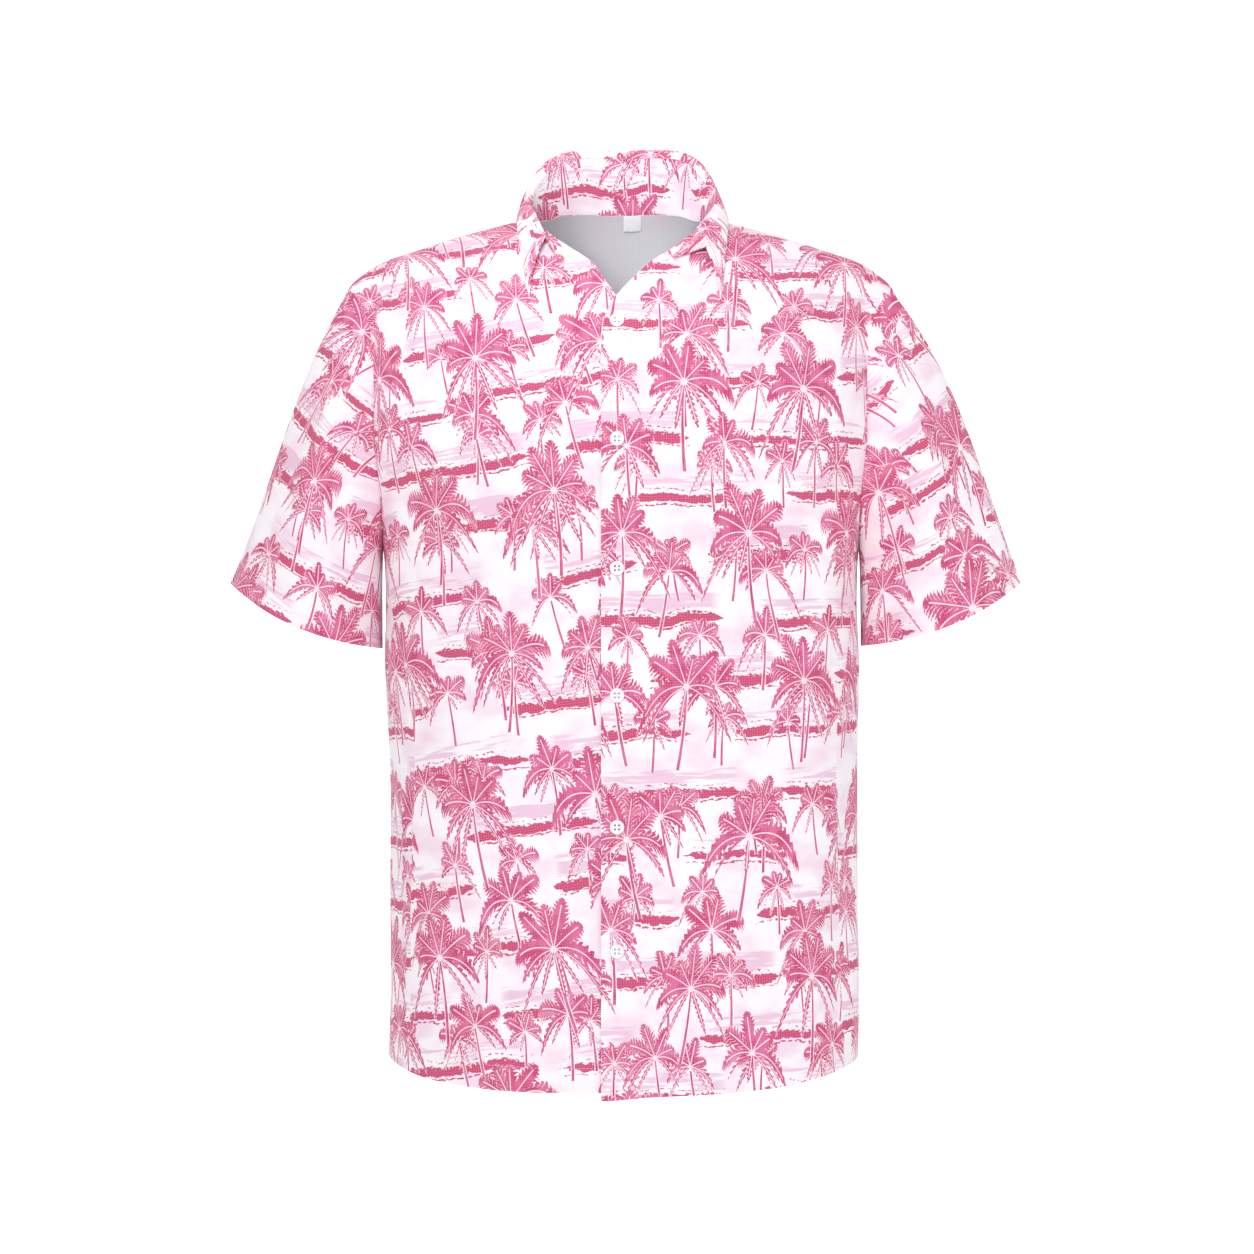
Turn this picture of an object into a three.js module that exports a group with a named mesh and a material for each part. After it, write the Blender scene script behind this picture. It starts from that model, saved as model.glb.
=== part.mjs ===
// Hawaiian shirt: a short-sleeved shirt with a folded collar and a buttoned front.
// It stands filled out and hollow, as worn, with the neck, hem and sleeves open.
// Millimetres. +X is the wearer's left, -Y the front and +Z up. The origin is the
// centre of the neck opening, level with the ridges of the shoulders.
import * as THREE from 'three';

// A table's rows as objects, from a list of column names.
function withNames(names, rows) {
  return rows.map((row) => Object.fromEntries(names.map((name, i) => [name, row[i]])));
}

// Cloth
const CLOTH = 1.4; // thickness of every wall
const SEAM_GAP = 0.34; // between two pieces that are sewn together
const LAYER_GAP = 0.4; // between a piece and what lies on it
const STAND_GAP = 0.65; // under the foot of the collar stand, which crosses the shoulder seams

// Levels of the body
const HEM_LEVEL = -697; // at the sides
const HEM_DROP = 22; // how much lower the tails reach in front and behind
const HEM_ROUNDING = 1.3; // higher lets the tails rise sooner towards the sides
const UNDERARM_LEVEL = -272;
const CHEST_LEVEL = -190; // level sections up to here, then the cloth turns over the shoulders

// Form of the body
const SECTION_POWER = 2.35; // 2 is an ellipse, more is squarer
const CHEST_HALF_WIDTH = 212;
const FRONT_SHOULDER_POWER = 1.7;
const BACK_SHOULDER_POWER = 2;
const NECK_HALF_WIDTH = 72;
const BACK_NECK_DEPTH = 70;
const ARMHOLE_X = 204; // the armhole seam, seen from the front
const SHOULDER_TIP_X = 233;
const ARMHOLE_ROUNDING = 5; // higher keeps the seam upright for longer below the tip
const CORNER_ROUNDING = 9; // higher sharpens the corner of the front opening

// Front opening: the wearer's left front lies on top
const TOP_EDGE_X = -15.3;
const TOP_CORNER_X = -6;
const UNDER_EDGE_X = 14;
const UNDER_CORNER_X = 9;
const TOP_LAYER_LIFT = CLOTH + LAYER_GAP + 0.4;
const LIFT_ENDS_X = 26;
const LIFT_STARTS_X = 48;
const TOP_CORNER_DROP = 3; // the top layer's hem corner hangs a little low
const TOP_CORNER_REACH = 45;
const UNDER_CORNER_RISE = 3.5; // and the other front's hem rises towards the opening
const UNDER_CORNER_REACH = 170;

// Buttons and label
const BUTTON_X = -2.5;
const BUTTON_LEVELS = [-93, -189, -293, -395, -501, -601];
const BUTTON_RADIUS = 5.8;
const BUTTON_THICKNESS = 2.2;
const BUTTON_HOLE_RADIUS = 0.8;
const BUTTON_HOLE_OFFSET = 1.55;
const LABEL = { fromX: 3, toX: 17.6, height: 14, margin: 0.6, thickness: 1 };

// Grid: how finely the pieces are divided
const ROWS_BODY = 10;
const ROWS_ARMHOLE = 4;
const ROWS_SHOULDER = 8;
const COLUMN_CROWDING = 1.3; // over 1 puts more columns near the centre
const COLUMNS_NECK = 7;
const COLUMNS_SHOULDER = 10;
const ROWS_SLEEVE = 8;
const ROWS_FALL = 5;
const COLUMNS_COLLAR = 3; // for each row of a collar table

// Sections of the body: half width on the wearer's right and left, and how far the
// cloth stands in front of the shoulder ridge and behind it.
const SECTIONS = [
  { z: -730, right: 195, left: 199, front: 124, back: 120 },
  { z: -640, right: 193, left: 200, front: 125, back: 120 },
  { z: -560, right: 193.5, left: 199, front: 127, back: 119 },
  { z: -450, right: 194, left: 199, front: 130, back: 120 },
  { z: -370, right: 197.5, left: 200, front: 132, back: 123 },
  { z: -320, right: 196.5, left: 198, front: 133, back: 125 },
  { z: UNDERARM_LEVEL, right: 199, left: 200, front: 133, back: 126 },
  { z: CHEST_LEVEL, right: CHEST_HALF_WIDTH, left: CHEST_HALF_WIDTH, front: 131, back: 124 },
];

// The side seams swing forward: their angle from the centre front, by level.
const SIDE_SEAM = [
  { z: -730, right: 63, left: 67 },
  { z: -562, right: 61, left: 64 },
  { z: -424, right: 58, left: 61 },
  { z: -360, right: 66, left: 68 },
  { z: -310, right: 76, left: 77 },
  { z: UNDERARM_LEVEL, right: 87, left: 87 },
];

// Shoulder ridge: its height by distance from the centre. Inside the neck opening it
// only carries on the curve of the front or of the back.
const FRONT_RIDGE = [
  { x: 0, z: 26 },
  { x: 36, z: 17 },
  { x: NECK_HALF_WIDTH, z: 4 },
  { x: 100, z: -3 },
  { x: 140, z: -14 },
  { x: 172, z: -24.5 },
  { x: 200, z: -34 },
  { x: 216, z: -44 },
  { x: 227, z: -54 },
  { x: SHOULDER_TIP_X, z: -65 },
];
const BACK_RIDGE = [
  { x: 0, z: 57 },
  { x: 24, z: 51 },
  { x: 48, z: 33 },
  ...FRONT_RIDGE.slice(2),
];

// Front neckline, seen from the front: from the shoulder to the corner at the opening.
const TOP_NECKLINE = [
  { x: TOP_CORNER_X, z: -75 },
  { x: 3, z: -64.5 },
  { x: 13, z: -54 },
  { x: 23, z: -44 },
  { x: 43.6, z: -28.5 },
  { x: 61, z: -12 },
  { x: NECK_HALF_WIDTH, z: 4 },
];
const UNDER_NECKLINE = [
  { x: -UNDER_CORNER_X, z: -89 },
  { x: 2.6, z: -71.5 },
  { x: 12.5, z: -57 },
  { x: 22.5, z: -42.5 },
  { x: 43, z: -27 },
  { x: 60, z: -13 },
  { x: NECK_HALF_WIDTH, z: 4 },
];

// Soft folds of the body: each is a trough (depth under zero) or a ridge that runs
// from one place to another. The angle is counted from the centre front, round the
// wearer's left when over zero; width and depth are millimetres.
const BODY_FOLDS = [
  { angle: 60, z: -215, toAngle: 30, toZ: -330, width: 20, depth: -3.0 },
  { angle: 66, z: -255, toAngle: 44, toZ: -400, width: 24, depth: 2.6 },
  { angle: 74, z: -420, toAngle: 62, toZ: -690, width: 26, depth: -3.4 },
  { angle: 30, z: -560, toAngle: 36, toZ: -715, width: 30, depth: 2.8 },
  { angle: -58, z: -220, toAngle: -32, toZ: -320, width: 18, depth: -2.6 },
  { angle: -68, z: -270, toAngle: -48, toZ: -420, width: 26, depth: 2.4 },
  { angle: -78, z: -440, toAngle: -70, toZ: -700, width: 28, depth: -4.0 },
  { angle: -38, z: -540, toAngle: -34, toZ: -715, width: 26, depth: -2.4 },
  { angle: 112, z: -230, toAngle: 150, toZ: -340, width: 24, depth: -3.4 },
  { angle: -112, z: -235, toAngle: -146, toZ: -360, width: 26, depth: -3.0 },
  { angle: 128, z: -380, toAngle: 140, toZ: -700, width: 32, depth: 4.0 },
  { angle: -132, z: -400, toAngle: -142, toZ: -705, width: 30, depth: 4.4 },
  { angle: 164, z: -330, toAngle: 170, toZ: -700, width: 34, depth: -3.2 },
  { angle: -166, z: -360, toAngle: -160, toZ: -690, width: 30, depth: -2.8 },
];
const MM_PER_DEGREE = 3; // along the cloth, for the folds

// Sleeves: the two ends of each hem, seen from the front, and how much the cloth
// leaves the tip of the shoulder outwards, where 0 is straight down and 1 level.
const SLEEVES = {
  right: { outerX: -326.5, outerZ: -303, innerX: -199.4, innerZ: -358, topOut: 0.5 },
  left: { outerX: 336, outerZ: -302, innerX: 201.4, innerZ: -356, topOut: 0.62 },
};
const SLEEVE_HALF_DEPTH = 54;
const SLEEVE_MIDDLE_Y = -6;
const SLEEVE_HEM_FRONT_DROP = 10.5;
const SLEEVE_HEM_BACK_DROP = 7;
// How the cloth leaves the armhole, out, forward and down, in front, under and behind.
const SLEEVE_START = {
  front: { out: 0.82, forward: 0.34, down: 0.46 },
  under: { out: 0.03, forward: 0, down: 1 },
  back: { out: 0.82, forward: -0.34, down: 0.46 },
};
// Folds of a sleeve: angle from its top, towards the front when over zero, and how
// far down the sleeve, from 0 at the armhole to 1 at the hem.
const SLEEVE_FOLDS = [
  { angle: 96, down: 0.02, toAngle: 128, toDown: 0.75, width: 15, depth: -4.5 },
  { angle: 62, down: 0.1, toAngle: 84, toDown: 0.95, width: 17, depth: 2.5 },
  { angle: 40, down: 0.3, toAngle: 46, toDown: 1, width: 14, depth: -1.8 },
  { angle: -94, down: 0.02, toAngle: -124, toDown: 0.8, width: 16, depth: -4.5 },
  { angle: -60, down: 0.2, toAngle: -76, toDown: 1, width: 18, depth: 2.5 },
];
const SLEEVE_MM_PER_DEGREE = 1.1;
const SLEEVE_LENGTH = 215;

// Collar, from the centre back to its front end on each side. The neck seam and the
// outer edge are places on the body seen from above; the seam between stand and leaf
// and the roll, where the leaf turns over, are points.
const COLLAR_COLUMNS = [
  'neckX',
  'neckY',
  'seamX',
  'seamY',
  'seamZ',
  'rollX',
  'rollY',
  'rollZ',
  'edgeX',
  'edgeY',
];
const COLLAR_RIGHT = withNames(COLLAR_COLUMNS, [
  [0, 70, 0, 63.5, 61, 0, 67, 69, 0, 83.5],
  [-44, 55.4, -47.5, 47.5, 57, -51, 51, 64.5, -58.5, 59],
  [-65, 30.1, -71, 28, 33, -76, 30, 40, -86, 33],
  [-72, 0, -73, 2, 11, -76.5, 2, 17, -86.5, 0],
  [-67, -33, -68, -31, -1, -71, -31, 5, -84.5, -39],
  [-59, -57, -61, -56, -18, -64, -55, -12, -79.5, -70],
  [-49.5, -75, -50.5, -76, -40, -62, -61, -19, -74, -91],
]);
const COLLAR_LEFT = withNames(COLLAR_COLUMNS, [
  [0, 70, 0, 63.5, 61, 0, 67, 69, 0, 83.5],
  [46, 53.8, 50, 45.5, 57.5, 54, 48.5, 65, 61.5, 57],
  [65.5, 29.1, 72, 27, 35, 77, 29, 42, 88, 32],
  [72, 0, 75, 2, 11, 79.5, 2, 18, 90.5, 0],
  [67, -33, 69.5, -31, -1, 75, -30, 2, 88.5, -39],
  [57, -58, 61, -57, -18, 72, -53, -13, 85, -70],
  [42, -75, 44, -77, -38, 70.4, -67, -27, 82, -91],
]);
const LEAF_REST = 2.6; // the outer edge above the body
const LEAF_BULGE = 5.5; // how far the fall stands off a straight line
const STAND_TO_ROLL = 0.6; // where the leaf is divided once between its seam and the roll

const RAD = Math.PI / 180;
const { lerp, clamp, smoothstep } = THREE.MathUtils;
const vec = (x, y, z) => new THREE.Vector3(x, y, z);

// A smooth curve through a table's rows: the column's value where the key is at.
function along(table, key, at, column) {
  const last = table.length - 1;
  let i = 0;
  while (i < last - 1 && at > table[i + 1][key]) i++;
  const value = (k) => table[clamp(k, 0, last)][column];
  const place = (k) => table[clamp(k, 0, last)][key];
  const width = place(i + 1) - place(i);
  const t = clamp((at - place(i)) / width, 0, 1);
  const slope = (k) => {
    const span = place(k + 1) - place(k - 1);
    return ((value(k + 1) - value(k - 1)) / span) * width;
  };
  const t2 = t * t;
  const t3 = t2 * t;
  return (
    (2 * t3 - 3 * t2 + 1) * value(i) +
    (t3 - 2 * t2 + t) * slope(i) +
    (3 * t2 - 2 * t3) * value(i + 1) +
    (t3 - t2) * slope(i + 1)
  );
}

// How strongly a fold shows at a place that lies across and along it.
function foldStrength(fold, startX, startY, endX, endY, x, y) {
  const dx = endX - startX;
  const dy = endY - startY;
  const length2 = dx * dx + dy * dy;
  const t = ((x - startX) * dx + (y - startY) * dy) / length2;
  const across = ((x - startX) * dy - (y - startY) * dx) / Math.sqrt(length2);
  const ends = smoothstep(t, -0.15, 0.25) * (1 - smoothstep(t, 0.75, 1.2));
  return fold.depth * ends * Math.exp(-((across / fold.width) ** 2));
}

// Sum of the body's folds at an angle, in degrees, and a level.
function bodyFold(angle, z) {
  let sum = 0;
  for (const fold of BODY_FOLDS) {
    const x = angle * MM_PER_DEGREE;
    const from = fold.angle * MM_PER_DEGREE;
    const to = fold.toAngle * MM_PER_DEGREE;
    sum += foldStrength(fold, from, fold.z, to, fold.toZ, x, z);
  }
  return sum;
}

const power = (value, exponent) => Math.sign(value) * Math.abs(value) ** exponent;
const sideName = (side) => (side > 0 ? 'left' : 'right');

// A point of the body below the chest. side is 1 on the wearer's left and -1 on the
// right; angle runs from 0 at the centre front to 180 at the centre back.
function bodyPoint(side, angle, z) {
  const sine = Math.sin(angle * RAD);
  const cosine = Math.cos(angle * RAD);
  const halfWidth = along(SECTIONS, 'z', z, sideName(side));
  const depth = along(SECTIONS, 'z', z, cosine > 0 ? 'front' : 'back');
  const x = side * halfWidth * power(sine, 2 / SECTION_POWER);
  const y = -depth * power(cosine, 2 / SECTION_POWER);
  const out = vec(x / halfWidth ** 2, y / depth ** 2, 0).normalize();
  return vec(x, y, z).addScaledVector(out, bodyFold(side * angle, z));
}

// The angle at which a level section has this distance from the centre plane.
function angleAt(x, halfWidth) {
  return Math.asin(clamp(power(x / halfWidth, SECTION_POWER / 2), -1, 1)) / RAD;
}

const FACES = {
  front: { sign: -1, power: FRONT_SHOULDER_POWER, ridge: FRONT_RIDGE },
  back: { sign: 1, power: BACK_SHOULDER_POWER, ridge: BACK_RIDGE },
};
const CHEST = SECTIONS[SECTIONS.length - 1];

// How far the chest stands out at a distance from the centre plane.
function chestDepth(face, x) {
  const share = Math.min(Math.abs(x), ARMHOLE_X) / CHEST_HALF_WIDTH;
  return CHEST[face] * (1 - share ** SECTION_POWER) ** (1 / SECTION_POWER);
}

// A point above the chest. turn is 90 degrees at the chest and 0 on the ridge.
function shoulderPoint(face, x, turn) {
  const { sign, power: exponent, ridge } = FACES[face];
  const top = along(ridge, 'x', Math.abs(x), 'z');
  const reach = top - CHEST_LEVEL;
  const q = Math.sin(turn * RAD) ** (2 / exponent);
  const z = top - reach * (1 - Math.abs(Math.cos(turn * RAD)) ** (2 / exponent));
  const y = sign * chestDepth(face, x) * q;
  const front = angleAt(Math.min(Math.abs(x), CHEST_HALF_WIDTH), CHEST_HALF_WIDTH);
  const angle = Math.sign(x) * (face === 'front' ? front : 180 - front);
  const out = vec(x / CHEST_HALF_WIDTH ** 2, y / CHEST[face] ** 2, 0);
  if (out.lengthSq() > 0) out.normalize();
  const fold = bodyFold(angle, z) * Math.sin(turn * RAD) ** 2;
  return vec(x, y, z).addScaledVector(out, fold);
}

// The turn at which the shoulder surface has a height, or a place seen from above.
function turnAtHeight(face, x, z) {
  const { power: exponent, ridge } = FACES[face];
  const top = along(ridge, 'x', Math.abs(x), 'z');
  const share = clamp(1 - (top - z) / (top - CHEST_LEVEL), 0, 1);
  return Math.acos(share ** (exponent / 2)) / RAD;
}
function turnAtPlace(x, y) {
  const face = y > 0 ? 'back' : 'front';
  const share = clamp(Math.abs(y) / chestDepth(face, x), 0, 1);
  return Math.asin(share ** (FACES[face].power / 2)) / RAD;
}
// The point of the shoulder surface at a place seen from above, and its outward normal.
function onShoulder(x, y, height = 0) {
  const face = y > 0 ? 'back' : 'front';
  const at = (px, py) => shoulderPoint(face, px, turnAtPlace(px, py));
  const step = 0.5;
  const side = y > 0 ? -step : step;
  const point = at(x, y);
  const normal = at(x + step, y)
    .sub(point)
    .cross(at(x, y - side).sub(point));
  if (normal.z < 0) normal.negate();
  return { point: point.addScaledVector(normal.normalize(), height), normal };
}

// Rows of a body piece: hem to underarm, underarm to chest, chest to shoulder.
const ROWS = ROWS_BODY + ROWS_ARMHOLE + ROWS_SHOULDER;

// One column of a body piece. across is 0 at the centre and 1 at the outer edge.
function bodyColumn(face, side, across, piece) {
  const points = [];
  const spread = across ** COLUMN_CROWDING;
  const neckShare = COLUMNS_NECK / (COLUMNS_NECK + COLUMNS_SHOULDER);
  const isFront = face === 'front';
  const armAngle = angleAt(ARMHOLE_X, CHEST_HALF_WIDTH);
  const angleOn = (level, outer) => {
    const halfWidth = along(SECTIONS, 'z', level, sideName(side));
    const inner = angleAt(piece.edgeX, halfWidth);
    return isFront ? lerp(inner, outer, spread) : lerp(180, outer, spread);
  };
  for (let i = 0; i <= ROWS_BODY; i++) {
    const outerAtHem = along(SIDE_SEAM, 'z', HEM_LEVEL, sideName(side));
    const hemAngle = angleOn(HEM_LEVEL, outerAtHem);
    let hem = HEM_LEVEL - HEM_DROP * Math.abs(Math.cos(hemAngle * RAD)) ** HEM_ROUNDING;
    if (isFront) {
      const x = side * bodyPoint(side, hemAngle, HEM_LEVEL).x - piece.edgeX;
      hem -= piece.cornerDrop * (1 - smoothstep(x, 0, piece.cornerReach));
    }
    const z = lerp(hem, UNDERARM_LEVEL, i / ROWS_BODY);
    const outer = along(SIDE_SEAM, 'z', z, sideName(side));
    const angle = angleOn(z, outer);
    points.push(bodyPoint(side, angle, z));
  }
  for (let i = 1; i <= ROWS_ARMHOLE; i++) {
    const turn = (i / ROWS_ARMHOLE) * 90 * RAD;
    const z = lerp(UNDERARM_LEVEL, CHEST_LEVEL, 1 - Math.cos(turn));
    const start = along(SIDE_SEAM, 'z', UNDERARM_LEVEL, sideName(side));
    const outer = lerp(start, isFront ? armAngle : 180 - armAngle, Math.sin(turn));
    const angle = angleOn(z, outer);
    points.push(bodyPoint(side, angle, z));
  }
  const chestX = side * points[points.length - 1].x;
  const onNeck = across < neckShare;
  const share = onNeck ? across / neckShare : (across - neckShare) / (1 - neckShare);
  let topX = lerp(NECK_HALF_WIDTH, SHOULDER_TIP_X, share);
  let topTurn = 0;
  if (onNeck && isFront) {
    topX = lerp(piece.cornerX, NECK_HALF_WIDTH, share);
    topTurn = turnAtHeight(face, topX, along(piece.neckline, 'x', topX, 'z'));
  } else if (onNeck) {
    topX = NECK_HALF_WIDTH * Math.sin(share * 90 * RAD);
    topTurn = turnAtPlace(topX, BACK_NECK_DEPTH * Math.cos(share * 90 * RAD));
  }
  const startX = across === 1 ? ARMHOLE_X : chestX;
  for (let i = 1; i <= ROWS_SHOULDER; i++) {
    const up = i / ROWS_SHOULDER;
    const round = Math.sin(up * 90 * RAD) ** ARMHOLE_ROUNDING;
    const moved = onNeck && isFront ? lerp(up ** CORNER_ROUNDING, round, share) : round;
    const x = lerp(startX, topX, moved);
    points.push(shoulderPoint(face, side * x, lerp(90, topTurn, up)));
  }
  return points;
}

// Normals of a grid of points, by its neighbours along both ways.
function normalsOf(grid, closed = false) {
  const columns = grid.length;
  return grid.map((column, c) =>
    column.map((_, r) => {
      const before = closed ? (c + columns - 1) % columns : Math.max(c - 1, 0);
      const after = closed ? (c + 1) % columns : Math.min(c + 1, columns - 1);
      const acrossWay = grid[after][r].clone().sub(grid[before][r]);
      const low = Math.max(r - 1, 0);
      const high = Math.min(r + 1, column.length - 1);
      const upWay = column[high].clone().sub(column[low]);
      return acrossWay.cross(upWay).normalize();
    }),
  );
}

// Moves a line of points towards their neighbours, for the gap at a seam.
function pullBack(line, neighbours, distance) {
  line.forEach((point, i) => {
    const way = neighbours[i].clone().sub(point).normalize();
    point.addScaledVector(way, distance);
  });
}

// A closed wall between two grids of points, each a list of columns.
function wall(outer, inner, closed = false) {
  const columns = outer.length;
  const rows = outer[0].length;
  const positions = [];
  for (const grid of [outer, inner]) {
    for (const column of grid) {
      for (const point of column) positions.push(point.x, point.y, point.z);
    }
  }
  const id = (layer, c, r) => layer * columns * rows + (c % columns) * rows + r;
  const faces = [];
  const quad = (a, b, c, d) => faces.push(a, b, c, a, c, d);
  const spans = closed ? columns : columns - 1;
  for (let c = 0; c < spans; c++) {
    for (let r = 0; r < rows - 1; r++) {
      quad(id(0, c, r), id(0, c + 1, r), id(0, c + 1, r + 1), id(0, c, r + 1));
      quad(id(1, c, r), id(1, c, r + 1), id(1, c + 1, r + 1), id(1, c + 1, r));
    }
    quad(id(0, c, 0), id(1, c, 0), id(1, c + 1, 0), id(0, c + 1, 0));
    const top = rows - 1;
    quad(id(0, c, top), id(0, c + 1, top), id(1, c + 1, top), id(1, c, top));
  }
  if (!closed) {
    const end = columns - 1;
    for (let r = 0; r < rows - 1; r++) {
      quad(id(0, 0, r), id(0, 0, r + 1), id(1, 0, r + 1), id(1, 0, r));
      quad(id(0, end, r), id(1, end, r), id(1, end, r + 1), id(0, end, r + 1));
    }
  }
  const geometry = new THREE.BufferGeometry();
  geometry.setAttribute('position', new THREE.Float32BufferAttribute(positions, 3));
  geometry.setIndex(volumeOf(positions, faces) < 0 ? faces.reverse() : faces);
  geometry.computeVertexNormals();
  return geometry;
}

// Signed volume inside a list of faces.
function volumeOf(positions, faces) {
  const corner = (k) => vec(...positions.slice(3 * faces[k], 3 * faces[k] + 3));
  let sum = 0;
  for (let i = 0; i < faces.length; i += 3) {
    sum += corner(i).dot(corner(i + 1).cross(corner(i + 2))) / 6;
  }
  return sum;
}

// A grid moved along its normals.
function offset(grid, normals, distance) {
  return grid.map((column, c) =>
    column.map((point, r) => point.clone().addScaledVector(normals[c][r], distance)),
  );
}

// Body pieces
const FRONTS = {
  left: {
    side: 1,
    edgeX: TOP_EDGE_X,
    cornerX: TOP_CORNER_X,
    neckline: TOP_NECKLINE,
    lift: TOP_LAYER_LIFT,
    cornerDrop: TOP_CORNER_DROP,
    cornerReach: TOP_CORNER_REACH,
  },
  right: {
    side: -1,
    edgeX: -UNDER_EDGE_X,
    cornerX: -UNDER_CORNER_X,
    neckline: UNDER_NECKLINE,
    lift: 0,
    cornerDrop: -UNDER_CORNER_RISE,
    cornerReach: UNDER_CORNER_REACH,
  },
};
const COLUMNS = COLUMNS_NECK + COLUMNS_SHOULDER;

function frontGrid(name) {
  const piece = FRONTS[name];
  const grid = [];
  for (let c = 0; c <= COLUMNS; c++) {
    grid.push(bodyColumn('front', piece.side, c / COLUMNS, piece));
  }
  return raiseOpening(grid, piece);
}

// Raises the layer that lies on top at the front opening.
function raiseOpening(grid, piece) {
  const away = outwardNormals(grid);
  return grid.map((column, c) =>
    column.map((point, r) => {
      const x = piece.side * point.x;
      const lift = piece.lift * (1 - smoothstep(x, LIFT_ENDS_X, LIFT_STARTS_X));
      return point.clone().addScaledVector(away[c][r], lift);
    }),
  );
}

function backGrid() {
  const piece = { edgeX: 0 };
  const grid = [];
  for (let c = -COLUMNS; c <= COLUMNS; c++) {
    grid.push(bodyColumn('back', c < 0 ? -1 : 1, Math.abs(c) / COLUMNS, piece));
  }
  return grid;
}

// Outward normals: a grid's own, turned to point away from the body's middle.
function outwardNormals(grid, closed = false, centre = vec(0, 0, -300)) {
  const normals = normalsOf(grid, closed);
  const c = Math.floor(grid.length / 2);
  const r = Math.floor(grid[0].length / 2);
  const away = grid[c][r].clone().sub(centre);
  const sign = Math.sign(away.dot(normals[c][r]));
  return normals.map((column) => column.map((normal) => normal.multiplyScalar(sign)));
}

// The armhole as a ring of points: from the tip of the shoulder down the front to
// the underarm and up the back. Each has an angle, 0 at the tip and 180 underneath.
function armholeRing(side, frontEdge, backEdge) {
  const first = ROWS_BODY;
  const front = frontEdge.slice(first).reverse();
  const back = backEdge.slice(first, -1);
  const angles = (line) => {
    const steps = [0];
    for (let i = 1; i < line.length; i++) {
      steps.push(steps[i - 1] + line[i].distanceTo(line[i - 1]));
    }
    const length = steps[steps.length - 1];
    return steps.map((step) => (step / length) * 180);
  };
  const down = angles(front);
  const up = angles([...back, frontEdge[frontEdge.length - 1]]);
  const ring = front.map((point, i) => ({ point: point.clone(), angle: down[i] }));
  for (let i = 1; i < back.length; i++) {
    ring.push({ point: back[i].clone(), angle: up[i] - 180 });
  }
  return ring;
}

// The sleeve's grid: a column for each point of the armhole, from there to the hem.
function sleeveGrid(name, side, ring) {
  const hem = SLEEVES[name];
  const outer = vec(hem.outerX, SLEEVE_MIDDLE_Y, hem.outerZ);
  const inner = vec(hem.innerX, SLEEVE_MIDDLE_Y, hem.innerZ);
  const middle = outer.clone().lerp(inner, 0.5);
  const out = outer.clone().sub(inner);
  const halfWidth = out.length() / 2;
  out.normalize();
  const down = vec(side * out.z, 0, -side * out.x);
  return ring.map(({ point, angle }) => {
    const cosine = Math.cos(angle * RAD);
    const sine = Math.sin(angle * RAD);
    const drop = sine > 0 ? SLEEVE_HEM_FRONT_DROP : SLEEVE_HEM_BACK_DROP;
    const end = middle
      .clone()
      .addScaledVector(out, halfWidth * cosine)
      .add(vec(0, -SLEEVE_HALF_DEPTH * sine, 0))
      .addScaledVector(down, drop * sine * sine);
    const { under, front, back } = SLEEVE_START;
    const top = { out: hem.topOut, forward: 0, down: Math.sqrt(1 - hem.topOut ** 2) };
    const upright = cosine > 0 ? top : under;
    const level = sine > 0 ? front : back;
    const mix = (key) => upright[key] * cosine ** 2 + level[key] * sine ** 2;
    const start = vec(side * mix('out'), -mix('forward'), -mix('down')).normalize();
    const finish = down.clone().lerp(vec(0, 0, -1), Math.max(-cosine, 0)).normalize();
    const length = point.distanceTo(end);
    const column = [];
    for (let r = 0; r <= ROWS_SLEEVE; r++) {
      const t = r / ROWS_SLEEVE;
      const t2 = t * t;
      const t3 = t2 * t;
      const place = point
        .clone()
        .multiplyScalar(2 * t3 - 3 * t2 + 1)
        .addScaledVector(start, length * (t3 - 2 * t2 + t))
        .addScaledVector(end, 3 * t2 - 2 * t3)
        .addScaledVector(finish, length * (t3 - t2));
      const axis = vec(lerp(side * ARMHOLE_X, middle.x, t), lerp(0, middle.y, t), place.z);
      const away = place.clone().sub(axis).normalize();
      place.addScaledVector(away, sleeveFold(angle, t));
      column.push(place);
    }
    return column;
  });
}

function sleeveFold(angle, t) {
  let sum = 0;
  for (const fold of SLEEVE_FOLDS) {
    const x = angle * SLEEVE_MM_PER_DEGREE;
    const from = fold.angle * SLEEVE_MM_PER_DEGREE;
    const to = fold.toAngle * SLEEVE_MM_PER_DEGREE;
    const start = fold.down * SLEEVE_LENGTH;
    const end = fold.toDown * SLEEVE_LENGTH;
    sum += foldStrength(fold, from, start, to, end, x, t * SLEEVE_LENGTH);
  }
  return sum * smoothstep(t, 0, 0.25);
}

const group = new THREE.Group();
const printedCloth = new THREE.MeshStandardMaterial({ color: 0xf3c7d8, roughness: 0.85 });
const whitePlastic = new THREE.MeshStandardMaterial({ color: 0xf6f2f2, roughness: 0.35 });
const whiteTape = new THREE.MeshStandardMaterial({ color: 0xf4f4f6, roughness: 0.8 });

function addMesh(name, geometry, material) {
  const mesh = new THREE.Mesh(geometry, material);
  mesh.name = name;
  group.add(mesh);
  return mesh;
}

// Builds the two fronts, the back and the two sleeves from shared armhole rings.
const grids = { left: frontGrid('left'), right: frontGrid('right'), back: backGrid() };
const normals = {
  left: outwardNormals(grids.left),
  right: outwardNormals(grids.right),
  back: outwardNormals(grids.back),
};
const backColumn = { right: 0, left: 2 * COLUMNS };

// Pieces that meet at a seam share one direction through the cloth there.
function shareNormal(one, other) {
  one.add(other).normalize();
  other.copy(one);
}

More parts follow.
